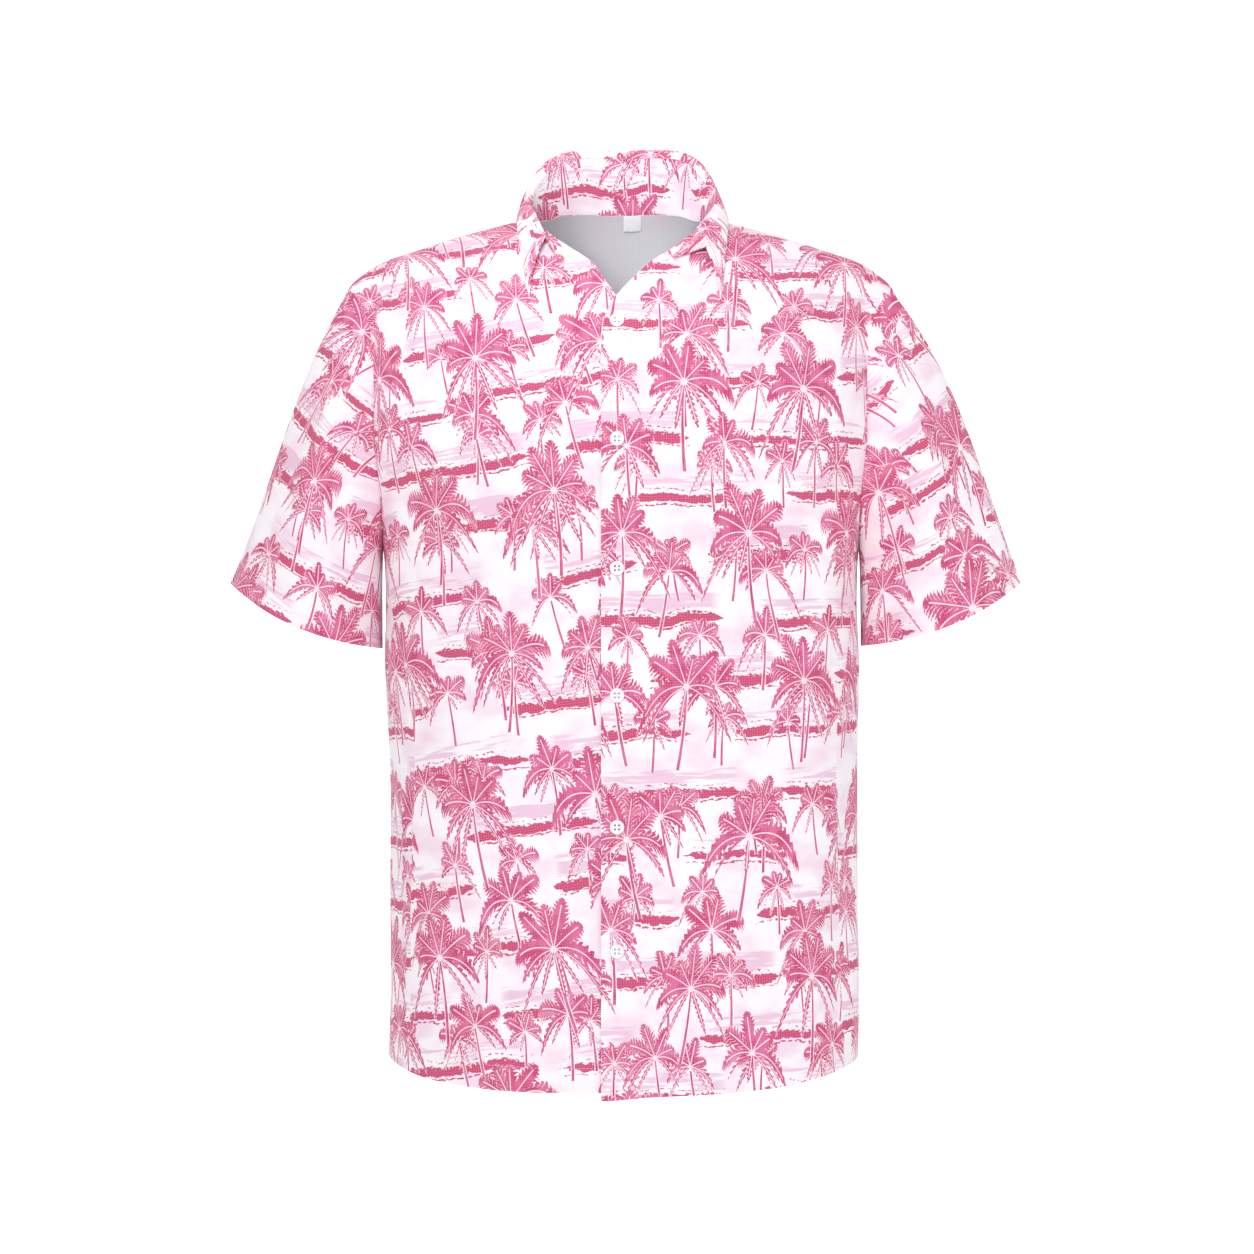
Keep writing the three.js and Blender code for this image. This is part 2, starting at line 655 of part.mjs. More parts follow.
for (const name of ['left', 'right']) {
  const side = name === 'left' ? 1 : -1;
  const front = grids[name][COLUMNS];
  const back = grids.back[backColumn[name]];
  const ring = armholeRing(side, front, back);
  const sleeve = sleeveGrid(name, side, ring);
  const hem = SLEEVES[name];
  const outerEnd = vec(hem.outerX, 0, hem.outerZ);
  const middle = vec(side * ARMHOLE_X, 0, UNDERARM_LEVEL).lerp(outerEnd, 0.5);
  const sleeveNormals = outwardNormals(sleeve, true, middle);
  const frontNormals = normals[name][COLUMNS];
  const backNormals = normals.back[backColumn[name]];
  for (let r = 0; r <= ROWS_BODY; r++) shareNormal(frontNormals[r], backNormals[r]);
  for (let c = COLUMNS_NECK; c <= COLUMNS; c++) {
    shareNormal(normals[name][c][ROWS], normals.back[COLUMNS + side * c][ROWS]);
  }
  const panelNormal = (k) => {
    const steps = ROWS - ROWS_BODY;
    if (k <= steps) return frontNormals[ROWS - k];
    return backNormals[ROWS_BODY + k - steps];
  };
  sleeve.forEach((_, k) => shareNormal(panelNormal(k), sleeveNormals[k][0]));
  backNormals[ROWS_BODY].copy(frontNormals[ROWS_BODY]);
  backNormals[ROWS].copy(frontNormals[ROWS]);
  const second = sleeve.map((column) => column[1]);
  const edge = sleeve.map((column) => column[0]);
  pullBack(edge, second, SEAM_GAP / 2);
  const inside = offset(sleeve, sleeveNormals, -CLOTH);
  addMesh(`sleeve_${name}`, wall(sleeve, inside, true), printedCloth);
}

// Pulls a body piece back from its seams and gives it its thickness.
function addBodyPiece(name, grid, pieceNormals, seamColumns) {
  for (const [c, neighbour] of seamColumns) {
    pullBack(grid[c], grid[neighbour], SEAM_GAP / 2);
  }
  grid.forEach((column) => pullBack([column[ROWS]], [column[ROWS - 1]], SEAM_GAP / 2));
  addMesh(name, wall(grid, offset(grid, pieceNormals, -CLOTH)), printedCloth);
}
addBodyPiece('front_left', grids.left, normals.left, [[COLUMNS, COLUMNS - 1]]);
addBodyPiece('front_right', grids.right, normals.right, [[COLUMNS, COLUMNS - 1]]);
addBodyPiece('back', grids.back, normals.back, [
  [0, 1],
  [2 * COLUMNS, 2 * COLUMNS - 1],
]);

// The collar's columns, from the front end on the wearer's right to that on the left.
function collarPlaces() {
  const columnNames = Object.keys(COLLAR_RIGHT[0]);
  const both = [...COLLAR_RIGHT.slice(1).reverse(), ...COLLAR_LEFT];
  const table = both.map((row, i) => ({ place: i, ...row }));
  const count = (table.length - 1) * COLUMNS_COLLAR;
  return Array.from({ length: count + 1 }, (_, i) => {
    const at = i / COLUMNS_COLLAR;
    return Object.fromEntries(columnNames.map((key) => [key, along(table, 'place', at, key)]));
  });
}

function addCollar() {
  const places = collarPlaces();
  const outwards = places.map((place, i) => {
    const before = places[Math.max(i - 1, 0)];
    const after = places[Math.min(i + 1, places.length - 1)];
    return vec(-(after.neckY - before.neckY), after.neckX - before.neckX, 0).normalize();
  });
  const standInner = [];
  const standOuter = [];
  const leafInner = [];
  const leafOuter = [];
  places.forEach((place, i) => {
    const out = outwards[i];
    const foot = onShoulder(place.neckX, place.neckY, STAND_GAP).point;
    const outerX = place.neckX + out.x * CLOTH;
    const outerY = place.neckY + out.y * CLOTH;
    const outerFoot = onShoulder(outerX, outerY, STAND_GAP).point;
    const seam = vec(place.seamX, place.seamY, place.seamZ);
    const outerSeam = seam.clone().addScaledVector(out, CLOTH);
    const rows = [0, 0.5, 1];
    standInner.push(rows.map((t) => foot.clone().lerp(seam, t)));
    standOuter.push(rows.map((t) => outerFoot.clone().lerp(outerSeam, t)));
    const roll = vec(place.rollX, place.rollY, place.rollZ);
    const rest = onShoulder(place.edgeX, place.edgeY, LEAF_REST).point;
    const start = seam.clone().add(vec(0, 0, SEAM_GAP));
    const control = roll.clone().lerp(rest, 0.5).addScaledVector(out, LEAF_BULGE);
    const line = [start, start.clone().lerp(roll, STAND_TO_ROLL)];
    for (let r = 0; r <= ROWS_FALL; r++) {
      const t = r / ROWS_FALL;
      const point = roll.clone().multiplyScalar((1 - t) ** 2);
      point.addScaledVector(control, 2 * t * (1 - t));
      point.addScaledVector(rest, t * t);
      line.push(point);
    }
    leafInner.push(line);
  });
  const leafNormals = normalsOf(leafInner);
  const centre = Math.floor(places.length / 2);
  const sign = Math.sign(leafNormals[centre][0].y);
  leafInner.forEach((line, i) => {
    leafOuter.push(
      line.map((point, r) => {
        const through = r === 0 ? outwards[i] : leafNormals[i][r].multiplyScalar(sign);
        return point.clone().addScaledVector(through, CLOTH);
      }),
    );
  });
  addMesh('collar_stand', wall(standOuter, standInner), printedCloth);
  addMesh('collar_leaf', wall(leafOuter, leafInner), printedCloth);
}
addCollar();

// A round button with four holes, its back on the top layer of the opening.
function buttonGeometry() {
  const shape = new THREE.Shape();
  shape.absarc(0, 0, BUTTON_RADIUS, 0, 2 * Math.PI, false);
  for (const [right, up] of [[1, 1], [-1, 1], [-1, -1], [1, -1]]) {
    const hole = new THREE.Path();
    const x = right * BUTTON_HOLE_OFFSET;
    const y = up * BUTTON_HOLE_OFFSET;
    hole.absarc(x, y, BUTTON_HOLE_RADIUS, 0, 2 * Math.PI, true);
    shape.holes.push(hole);
  }
  const geometry = new THREE.ExtrudeGeometry(shape, {
    depth: BUTTON_THICKNESS,
    bevelEnabled: false,
    curveSegments: 6,
  });
  return geometry;
}

// The body at a place of the opening, and its normal.
function onOpening(x, z) {
  const at = (px, pz) => {
    if (pz > CHEST_LEVEL) return shoulderPoint('front', px, turnAtHeight('front', px, pz));
    return bodyPoint(1, angleAt(px, along(SECTIONS, 'z', pz, 'left')), pz);
  };
  const point = at(x, z);
  const step = 4;
  const normal = at(x + step, z)
    .sub(at(x - step, z))
    .cross(at(x, z + step).sub(at(x, z - step)));
  return { point, normal: normal.normalize() };
}

BUTTON_LEVELS.forEach((level, i) => {
  const { point, normal } = onOpening(BUTTON_X, level);
  const mesh = addMesh(`button_${i + 1}`, buttonGeometry(), whitePlastic);
  mesh.position.copy(point).addScaledVector(normal, TOP_LAYER_LIFT + LAYER_GAP);
  mesh.quaternion.setFromUnitVectors(vec(0, 0, 1), normal);
});

// A point within a grid, between its columns and rows.
function between(grid, c, r) {
  const column = Math.min(Math.floor(c), grid.length - 2);
  const row = Math.min(Math.floor(r), grid[0].length - 2);
  const low = grid[column][row].clone().lerp(grid[column + 1][row], c - column);
  const high = grid[column][row + 1].clone().lerp(grid[column + 1][row + 1], c - column);
  return low.lerp(high, r - row);
}

// The small label inside the back of the neck, from the back's own points moved in.
function addLabel() {
  const near = offset(grids.back, normals.back, -CLOTH - LAYER_GAP);
  const far = offset(grids.back, normals.back, -CLOTH - LAYER_GAP - LABEL.thickness);
  const columnWidth = grids.back[COLUMNS + 1][ROWS].x;
  const rowHeight = grids.back[COLUMNS][ROWS].distanceTo(grids.back[COLUMNS][ROWS - 1]);
  const corners = (grid) =>
    [LABEL.fromX, LABEL.toX].map((x) =>
      [LABEL.height + LABEL.margin, LABEL.margin].map((down) =>
        between(grid, COLUMNS + x / columnWidth, ROWS - down / rowHeight),
      ),
    );
  addMesh('label', wall(corners(near), corners(far)), whiteTape);
}
addLabel();

export default group;
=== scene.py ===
# Hawaiian shirt: cloth panels, collar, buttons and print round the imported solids.
# Lengths are in millimetres until a mesh is made; +X is the wearer's left, -Y the front.
import math

import bmesh
import bpy
import numpy as np
from mathutils import Matrix, Vector


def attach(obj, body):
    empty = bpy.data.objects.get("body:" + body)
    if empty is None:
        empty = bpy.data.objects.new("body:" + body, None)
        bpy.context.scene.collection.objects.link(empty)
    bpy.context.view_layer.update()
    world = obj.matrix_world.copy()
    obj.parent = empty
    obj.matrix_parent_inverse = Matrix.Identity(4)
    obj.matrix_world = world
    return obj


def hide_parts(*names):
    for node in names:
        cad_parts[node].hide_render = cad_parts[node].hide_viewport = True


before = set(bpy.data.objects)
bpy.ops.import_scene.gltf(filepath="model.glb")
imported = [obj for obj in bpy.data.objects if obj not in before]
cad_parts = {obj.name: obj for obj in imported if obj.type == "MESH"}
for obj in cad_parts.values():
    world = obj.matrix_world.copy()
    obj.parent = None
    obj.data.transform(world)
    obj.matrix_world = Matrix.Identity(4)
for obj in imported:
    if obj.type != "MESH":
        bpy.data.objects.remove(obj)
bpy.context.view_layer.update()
MM = 0.001

# Camera: level with the chest, straight in front
CAMERA_DISTANCE = 3000
CAMERA_X = 5.5
CAMERA_Z = -340.2
VIEW_WIDTH = 1053.4
SENSOR = 36


def link(obj):
    bpy.context.scene.collection.objects.link(obj)
    return obj


def add_camera():
    """A long lens, level, as far off as the photograph's flat outlines suggest."""
    data = bpy.data.cameras.new("camera")
    data.sensor_width = SENSOR
    data.lens = SENSOR * CAMERA_DISTANCE / VIEW_WIDTH
    data.clip_end = 60
    camera = link(bpy.data.objects.new("camera", data))
    camera.location = Vector((CAMERA_X, -CAMERA_DISTANCE, CAMERA_Z)) * MM
    camera.rotation_euler = (math.radians(90), 0, 0)
    bpy.context.scene.camera = camera


add_camera()


# Sizes, the same as the solids'
def table(names, rows):
    """A table's columns by name."""
    return {name: np.array(column, float) for name, column in zip(names.split(), zip(*rows))}


CLOTH = 1.4
SEAM_GAP = 0.34
STAND_GAP = 0.65
HEM_LEVEL = -697
HEM_DROP = 22
HEM_ROUNDING = 1.3
UNDERARM_LEVEL = -272
CHEST_LEVEL = -190
SECTION_POWER = 2.35
CHEST_HALF_WIDTH = 212
SHOULDER_POWER = {"front": 1.7, "back": 2.0}
NECK_HALF_WIDTH = 72
BACK_NECK_DEPTH = 70
ARMHOLE_X = 204
SHOULDER_TIP_X = 233
ARMHOLE_ROUNDING = 5
CORNER_ROUNDING = 9
TOP_LAYER_LIFT = 2.2
LIFT_ENDS_X = 26
LIFT_STARTS_X = 48
COLUMN_CROWDING = 1.3
BUTTON_X = -2.5
BUTTON_LEVELS = (-93, -189, -293, -395, -501, -601)

SECTIONS = table("z right left front back", (
    (-730, 195, 199, 124, 120),
    (-640, 193, 200, 125, 120),
    (-560, 193.5, 199, 127, 119),
    (-450, 194, 199, 130, 120),
    (-370, 197.5, 200, 132, 123),
    (-320, 196.5, 198, 133, 125),
    (UNDERARM_LEVEL, 199, 200, 133, 126),
    (CHEST_LEVEL, CHEST_HALF_WIDTH, CHEST_HALF_WIDTH, 131, 124),
))
CHEST_DEPTH = {"front": 131, "back": 124}
SIDE_SEAM = table("z right left", (
    (-730, 63, 67),
    (-562, 61, 64),
    (-424, 58, 61),
    (-360, 66, 68),
    (-310, 76, 77),
    (UNDERARM_LEVEL, 87, 87),
))
SHOULDER_LINE = (
    (NECK_HALF_WIDTH, 4),
    (100, -3),
    (140, -14),
    (172, -24.5),
    (200, -34),
    (216, -44),
    (227, -54),
    (SHOULDER_TIP_X, -65),
)
RIDGE = {
    "front": table("x z", ((0, 26), (36, 17)) + SHOULDER_LINE),
    "back": table("x z", ((0, 57), (24, 51), (48, 33)) + SHOULDER_LINE),
}
TOP_NECKLINE = table("x z", (
    (-6, -75), (3, -64.5), (13, -54), (23, -44), (43.6, -28.5), (61, -12), (NECK_HALF_WIDTH, 4),
))
UNDER_NECKLINE = table("x z", (
    (-9, -89), (2.6, -71.5), (12.5, -57), (22.5, -42.5), (43, -27), (60, -13),
    (NECK_HALF_WIDTH, 4),
))
FOLD_COLUMNS = "angle z to_angle to_z width depth"
BODY_FOLDS = table(FOLD_COLUMNS, (
    (60, -215, 30, -330, 20, -3.0),
    (66, -255, 44, -400, 24, 2.6),
    (74, -420, 62, -690, 26, -3.4),
    (30, -560, 36, -715, 30, 2.8),
    (-58, -220, -32, -320, 18, -2.6),
    (-68, -270, -48, -420, 26, 2.4),
    (-78, -440, -70, -700, 28, -4.0),
    (-38, -540, -34, -715, 26, -2.4),
    (112, -230, 150, -340, 24, -3.4),
    (-112, -235, -146, -360, 26, -3.0),
    (128, -380, 140, -700, 32, 4.0),
    (-132, -400, -142, -705, 30, 4.4),
    (164, -330, 170, -700, 34, -3.2),
    (-166, -360, -160, -690, 30, -2.8),
))
# Finer creases, which only the cloth has and not its solid
BODY_CREASES = table(FOLD_COLUMNS, (
    (50, -200, 22, -262, 8, -1.0),
    (64, -236, 40, -318, 9, 1.1),
    (72, -300, 50, -410, 10, -1.2),
    (-50, -206, -26, -258, 8, -0.9),
    (-66, -240, -42, -330, 9, 1.0),
    (-72, -310, -54, -430, 10, -1.1),
    (18, -250, 12, -345, 9, 0.7),
    (-16, -300, -12, -392, 10, 0.7),
    (14, -455, 20, -560, 12, -0.8),
    (-20, -500, -14, -610, 12, 0.8),
    (52, -520, 44, -640, 11, 1.0),
    (-54, -520, -60, -660, 11, -1.1),
    (104, -262, 132, -352, 10, 1.3),
    (-104, -266, -130, -360, 10, 1.2),
    (150, -210, 162, -300, 11, -1.0),
    (-152, -215, -166, -310, 11, -1.0),
    (118, -460, 124, -600, 12, -1.3),
    (-120, -470, -128, -620, 12, -1.2),
    (176, -420, 178, -600, 13, 1.1),
))
MM_PER_DEGREE = 3

SLEEVES = {
    "right": {"side": -1, "outer": (-326.5, -303), "inner": (-199.4, -358), "top_out": 0.5},
    "left": {"side": 1, "outer": (336, -302), "inner": (201.4, -356), "top_out": 0.62},
}
SLEEVE_HALF_DEPTH = 54
SLEEVE_MIDDLE_Y = -6
SLEEVE_HEM_DROP = {"front": 10.5, "back": 7}
# How the cloth leaves the armhole: out, forward and down
SLEEVE_START = {
    "front": (0.82, 0.34, 0.46),
    "under": (0.03, 0, 1),
    "back": (0.82, -0.34, 0.46),
}
SLEEVE_FOLD_COLUMNS = "angle down to_angle to_down width depth"
SLEEVE_FOLDS = table(SLEEVE_FOLD_COLUMNS, (
    (96, 0.02, 128, 0.75, 15, -4.5),
    (62, 0.1, 84, 0.95, 17, 2.5),
    (40, 0.3, 46, 1, 14, -1.8),
    (-94, 0.02, -124, 0.8, 16, -4.5),
    (-60, 0.2, -76, 1, 18, 2.5),
))
SLEEVE_CREASES = table(SLEEVE_FOLD_COLUMNS, (
    (76, 0.05, 104, 0.5, 7, -1.0),
    (112, 0.1, 132, 0.7, 8, 1.0),
    (20, 0.35, 24, 0.9, 9, 0.8),
    (-80, 0.05, -106, 0.5, 7, -1.0),
    (-26, 0.3, -30, 0.95, 9, 0.7),
))
SLEEVE_MM_PER_DEGREE = 1.1
SLEEVE_LENGTH = 215

COLLAR_COLUMNS = "neck_x neck_y seam_x seam_y seam_z roll_x roll_y roll_z edge_x edge_y"
COLLAR_BACK = (0, 70, 0, 63.5, 61, 0, 67, 69, 0, 83.5)
COLLAR_RIGHT = (
    (-44, 55.4, -47.5, 47.5, 57, -51, 51, 64.5, -58.5, 59),
    (-65, 30.1, -71, 28, 33, -76, 30, 40, -86, 33),
    (-72, 0, -73, 2, 11, -76.5, 2, 17, -86.5, 0),
    (-67, -33, -68, -31, -1, -71, -31, 5, -84.5, -39),
    (-59, -57, -61, -56, -18, -64, -55, -12, -79.5, -70),
    (-49.5, -75, -50.5, -76, -40, -62, -61, -19, -74, -91),
)
COLLAR_LEFT = (
    (46, 53.8, 50, 45.5, 57.5, 54, 48.5, 65, 61.5, 57),
    (65.5, 29.1, 72, 27, 35, 77, 29, 42, 88, 32),
    (72, 0, 75, 2, 11, 79.5, 2, 18, 90.5, 0),
    (67, -33, 69.5, -31, -1, 75, -30, 2, 88.5, -39),
    (57, -58, 61, -57, -18, 72, -53, -13, 85, -70),
    (42, -75, 44, -77, -38, 70.4, -67, -27, 82, -91),
)
LEAF_REST = 2.6
LEAF_BULGE = 5.5

# How finely the cloth is divided: the solids' rows and columns, times these
ROWS_BODY, ROWS_ARMHOLE, ROWS_SHOULDER = 10 * 13, 4 * 6, 8 * 9
COLUMN_PARTS = 6
COLUMNS_NECK, COLUMNS_SHOULDER = 7 * COLUMN_PARTS, 10 * COLUMN_PARTS
COLUMNS = COLUMNS_NECK + COLUMNS_SHOULDER
ROWS = ROWS_BODY + ROWS_ARMHOLE + ROWS_SHOULDER
ROWS_SLEEVE = 72
COLUMNS_COLLAR = 16
ROWS_FALL = 26
SHEET = 0.9  # thickness of the visible cloth


# Form
def smoothstep(x, low, high):
    t = np.clip((x - low) / (high - low), 0, 1)
    return t * t * (3 - 2 * t)


def lerp(a, b, t):
    return a + (b - a) * t


def power(value, exponent):
    return np.sign(value) * np.abs(value) ** exponent


def sin(degrees):
    return np.sin(np.radians(degrees))


def cos(degrees):
    return np.cos(np.radians(degrees))


def points(x, y, z):
    return np.stack(np.broadcast_arrays(x, y, z), axis=-1).astype(float)


def unit(vectors):
    return vectors / np.maximum(np.linalg.norm(vectors, axis=-1, keepdims=True), 1e-9)


def along(rows, at, column):
    """A smooth curve through a table's rows: the column's value where its first column is at."""
    keys = next(iter(rows.values()))
    values = rows[column]
    last = len(keys) - 1
    i = np.clip(np.searchsorted(keys[1:last], at), 0, last - 1)
    at_row = lambda k: (keys[np.clip(k, 0, last)], values[np.clip(k, 0, last)])
    (key_before, before), (key_low, low) = at_row(i - 1), at_row(i)
    (key_high, high), (key_after, after) = at_row(i + 1), at_row(i + 2)
    width = key_high - key_low
    t = np.clip((at - key_low) / width, 0, 1)
    slope_low = (high - before) / (key_high - key_before) * width
    slope_high = (after - low) / (key_after - key_low) * width
    t2, t3 = t * t, t * t * t
    return ((2 * t3 - 3 * t2 + 1) * low + (t3 - 2 * t2 + t) * slope_low
            + (3 * t2 - 2 * t3) * high + (t3 - t2) * slope_high)


def fold_sum(folds, first, second, first_scale, second_scale, x, y):
    """Sum of a table's folds at places given by two of its columns."""
    total = 0
    to_first, to_second = "to_" + first, "to_" + second
    for i in range(len(folds["depth"])):
        x0, x1 = folds[first][i] * first_scale, folds[to_first][i] * first_scale
        y0, y1 = folds[second][i] * second_scale, folds[to_second][i] * second_scale
        dx, dy = x1 - x0, y1 - y0
        length2 = dx * dx + dy * dy
        t = ((x - x0) * dx + (y - y0) * dy) / length2
        across = ((x - x0) * dy - (y - y0) * dx) / math.sqrt(length2)
        ends = smoothstep(t, -0.15, 0.25) * (1 - smoothstep(t, 0.75, 1.2))
        total = total + folds["depth"][i] * ends * np.exp(-((across / folds["width"][i]) ** 2))
    return total


def body_fold(angle, z):
    return sum(
        fold_sum(folds, "angle", "z", MM_PER_DEGREE, 1, angle * MM_PER_DEGREE, z)
        for folds in (BODY_FOLDS, BODY_CREASES)
    )


def side_name(side):
    return "left" if side > 0 else "right"


def body_point(side, angle, z):
    """A point below the chest; angle is 0 at the centre front and 180 at the centre back."""
    sine, cosine = sin(angle), cos(angle)
    half_width = along(SECTIONS, z, side_name(side))
    depth = np.where(cosine > 0, along(SECTIONS, z, "front"), along(SECTIONS, z, "back"))
    x = side * half_width * power(sine, 2 / SECTION_POWER)
    y = -depth * power(cosine, 2 / SECTION_POWER)
    out = unit(points(x / half_width**2, y / depth**2, 0 * x))
    return points(x, y, z) + out * body_fold(side * angle, z)[..., None]


def angle_at(x, half_width):
    """The angle at which a level section has this distance from the centre plane."""
    share = power(x / half_width, SECTION_POWER / 2)
    return np.degrees(np.arcsin(np.clip(share, -1, 1)))


def chest_depth(face, x):
    share = np.minimum(np.abs(x), ARMHOLE_X) / CHEST_HALF_WIDTH
    return CHEST_DEPTH[face] * (1 - share**SECTION_POWER) ** (1 / SECTION_POWER)


def shoulder_point(face, x, turn):
    """A point above the chest; turn is 90 at the chest and 0 on the ridge."""
    exponent = SHOULDER_POWER[face]
    top = along(RIDGE[face], np.abs(x), "z")
    q = np.maximum(sin(turn), 0) ** (2 / exponent)
    z = top - (top - CHEST_LEVEL) * (1 - np.abs(cos(turn)) ** (2 / exponent))
    y = (-1 if face == "front" else 1) * chest_depth(face, x) * q
    angle = angle_at(np.minimum(np.abs(x), CHEST_HALF_WIDTH), CHEST_HALF_WIDTH)
    angle = np.sign(x) * (angle if face == "front" else 180 - angle)
    out = unit(points(x / CHEST_HALF_WIDTH**2, y / CHEST_DEPTH[face] ** 2, 0 * x))
    fold = body_fold(angle, z) * sin(turn) ** 2
    return points(x, y, z) + out * fold[..., None]


def turn_at_height(face, x, z):
    top = along(RIDGE[face], np.abs(x), "z")
    share = np.clip(1 - (top - z) / (top - CHEST_LEVEL), 0, 1)
    return np.degrees(np.arccos(share ** (SHOULDER_POWER[face] / 2)))


def turn_at_place(face, x, y):
    share = np.clip(np.abs(y) / chest_depth(face, x), 0, 1)
    return np.degrees(np.arcsin(share ** (SHOULDER_POWER[face] / 2)))


def on_shoulder(x, y, height=0.0):
    """The shoulder's point at a place seen from above, raised along its normal."""
    face = "back" if y > 0 else "front"
    step = 0.5

    def at(px, py):
        px = np.float64(px)
        return shoulder_point(face, px, turn_at_place(face, px, py))

    point = at(x, y)
    inward = y + step if y < 0 else y - step
    normal = unit(np.cross(at(x + step, y) - point, at(x, inward) - point))
    if normal[2] < 0:
        normal = -normal
    return point + normal * height


FRONTS = {
    "left": {"side": 1, "edge": -15.3, "corner": -6, "neckline": TOP_NECKLINE,
             "lift": TOP_LAYER_LIFT, "corner_drop": 3, "corner_reach": 45},
    "right": {"side": -1, "edge": -14, "corner": -9, "neckline": UNDER_NECKLINE,
              "lift": 0, "corner_drop": -3.5, "corner_reach": 170},
}


def body_grid(face, side, piece):
    """Columns from the centre to the outer edge, each from the hem to the top."""
    front = face == "front"
    across = (np.arange(COLUMNS + 1) / COLUMNS)[:, None]
    spread = across**COLUMN_CROWDING
    neck_share = COLUMNS_NECK / COLUMNS
    arm_angle = angle_at(ARMHOLE_X, CHEST_HALF_WIDTH)

    def angle_on(level, outer):
        if not front:
            return lerp(180, outer, spread)
        return lerp(angle_at(piece["edge"], along(SECTIONS, level, side_name(side))), outer, spread)

    level = np.full_like(across, HEM_LEVEL)
    hem_angle = angle_on(level, along(SIDE_SEAM, level, side_name(side)))
    hem = HEM_LEVEL - HEM_DROP * np.abs(cos(hem_angle)) ** HEM_ROUNDING
    if front:
        from_edge = side * body_point(side, hem_angle, level)[..., 0] - piece["edge"]
        hem = hem - piece["corner_drop"] * (1 - smoothstep(from_edge, 0, piece["corner_reach"]))
    z = lerp(hem, UNDERARM_LEVEL, np.arange(ROWS_BODY + 1) / ROWS_BODY)
    low = body_point(side, angle_on(z, along(SIDE_SEAM, z, side_name(side))), z)

    turn = np.arange(1, ROWS_ARMHOLE + 1) / ROWS_ARMHOLE * 90
    z = lerp(UNDERARM_LEVEL, CHEST_LEVEL, 1 - cos(turn)) + 0 * across
    start = along(SIDE_SEAM, UNDERARM_LEVEL, side_name(side))
    outer = lerp(start, arm_angle if front else 180 - arm_angle, sin(turn))
    middle = body_point(side, angle_on(z, outer), z)

    on_neck = across < neck_share - 1e-9
    share = np.where(on_neck, across / neck_share, (across - neck_share) / (1 - neck_share))
    top_x = lerp(NECK_HALF_WIDTH, SHOULDER_TIP_X, share)
    if front:
        neck_x = lerp(piece["corner"], NECK_HALF_WIDTH, share)
        neck_turn = turn_at_height(face, neck_x, along(piece["neckline"], neck_x, "z"))
    else:
        neck_x = NECK_HALF_WIDTH * sin(share * 90)
        neck_turn = turn_at_place(face, neck_x, BACK_NECK_DEPTH * cos(share * 90))
    top_x = np.where(on_neck, neck_x, top_x)
    top_turn = np.where(on_neck, neck_turn, 0)
    start_x = np.where(across == 1, ARMHOLE_X, side * middle[:, -1:, 0])
    up = np.arange(1, ROWS_SHOULDER + 1) / ROWS_SHOULDER
    round_way = sin(up * 90) ** ARMHOLE_ROUNDING
    moved = np.where(on_neck & front, lerp(up**CORNER_ROUNDING, round_way, share), round_way)
    x = lerp(start_x, top_x, moved)
    high = shoulder_point(face, side * x, lerp(90, top_turn, up))
    return np.concatenate([low, middle, high], axis=1)


def normals_of(grid, closed=False):
    after = np.roll(grid, -1, 0)
    before = np.roll(grid, 1, 0)
    if not closed:
        after[-1], before[0] = grid[-1], grid[0]
    higher = np.concatenate([grid[:, 1:], grid[:, -1:]], axis=1)
    lower = np.concatenate([grid[:, :1], grid[:, :-1]], axis=1)
    return unit(np.cross(after - before, higher - lower))


def outward_normals(grid, centre=(0, 0, -300), closed=False):
    normals = normals_of(grid, closed)
    c, r = grid.shape[0] // 2, grid.shape[1] // 2
    return normals * np.sign(np.dot(grid[c, r] - np.array(centre), normals[c, r]))


def steps_along(line):
    """Distance from a line's start at each of its points, along its second last axis."""
    lengths = np.linalg.norm(np.diff(line, axis=-2), axis=-1)
    start = np.zeros(lengths.shape[:-1] + (1,))
    return np.concatenate([start, np.cumsum(lengths, axis=-1)], axis=-1)


def cloth_places(grid, side):
    """Each point's place on the flat panel: across from the centre, and up."""
    level_row = ROWS_BODY + ROWS_ARMHOLE
    start = grid[0, :, 0] if side else 0 * grid[0, :, 0]
    if side:
        across = side * steps_along(grid.transpose(1, 0, 2)).T + start
    else:
        middle = grid.shape[0] // 2
        across = steps_along(grid.transpose(1, 0, 2)).T
        across = across - across[middle]
    chest_x, chest_u = grid[:, level_row, 0], across[:, level_row]
    order = np.argsort(chest_x)
    for row in range(level_row + 1, grid.shape[1]):
        across[:, row] = np.interp(grid[:, row, 0], chest_x[order], chest_u[order])
        beyond = grid[:, row, 0] - np.clip(grid[:, row, 0], chest_x.min(), chest_x.max())
        across[:, row] += beyond
    up = grid[..., 2].copy()
    climb = steps_along(grid[:, level_row:])
    up[:, level_row:] = grid[:, level_row, 2][:, None] + climb
    return np.stack([across, up], axis=-1)


# Meshes
CLOTH_SHARP_ANGLE = 55
BUTTON_SHARP_ANGLE = 40


def smooth_sides(mesh, sharp_angle):
    mesh.polygons.foreach_set("use_smooth", np.ones(len(mesh.polygons), bool))
    mesh.set_sharp_from_angle(angle=math.radians(sharp_angle))


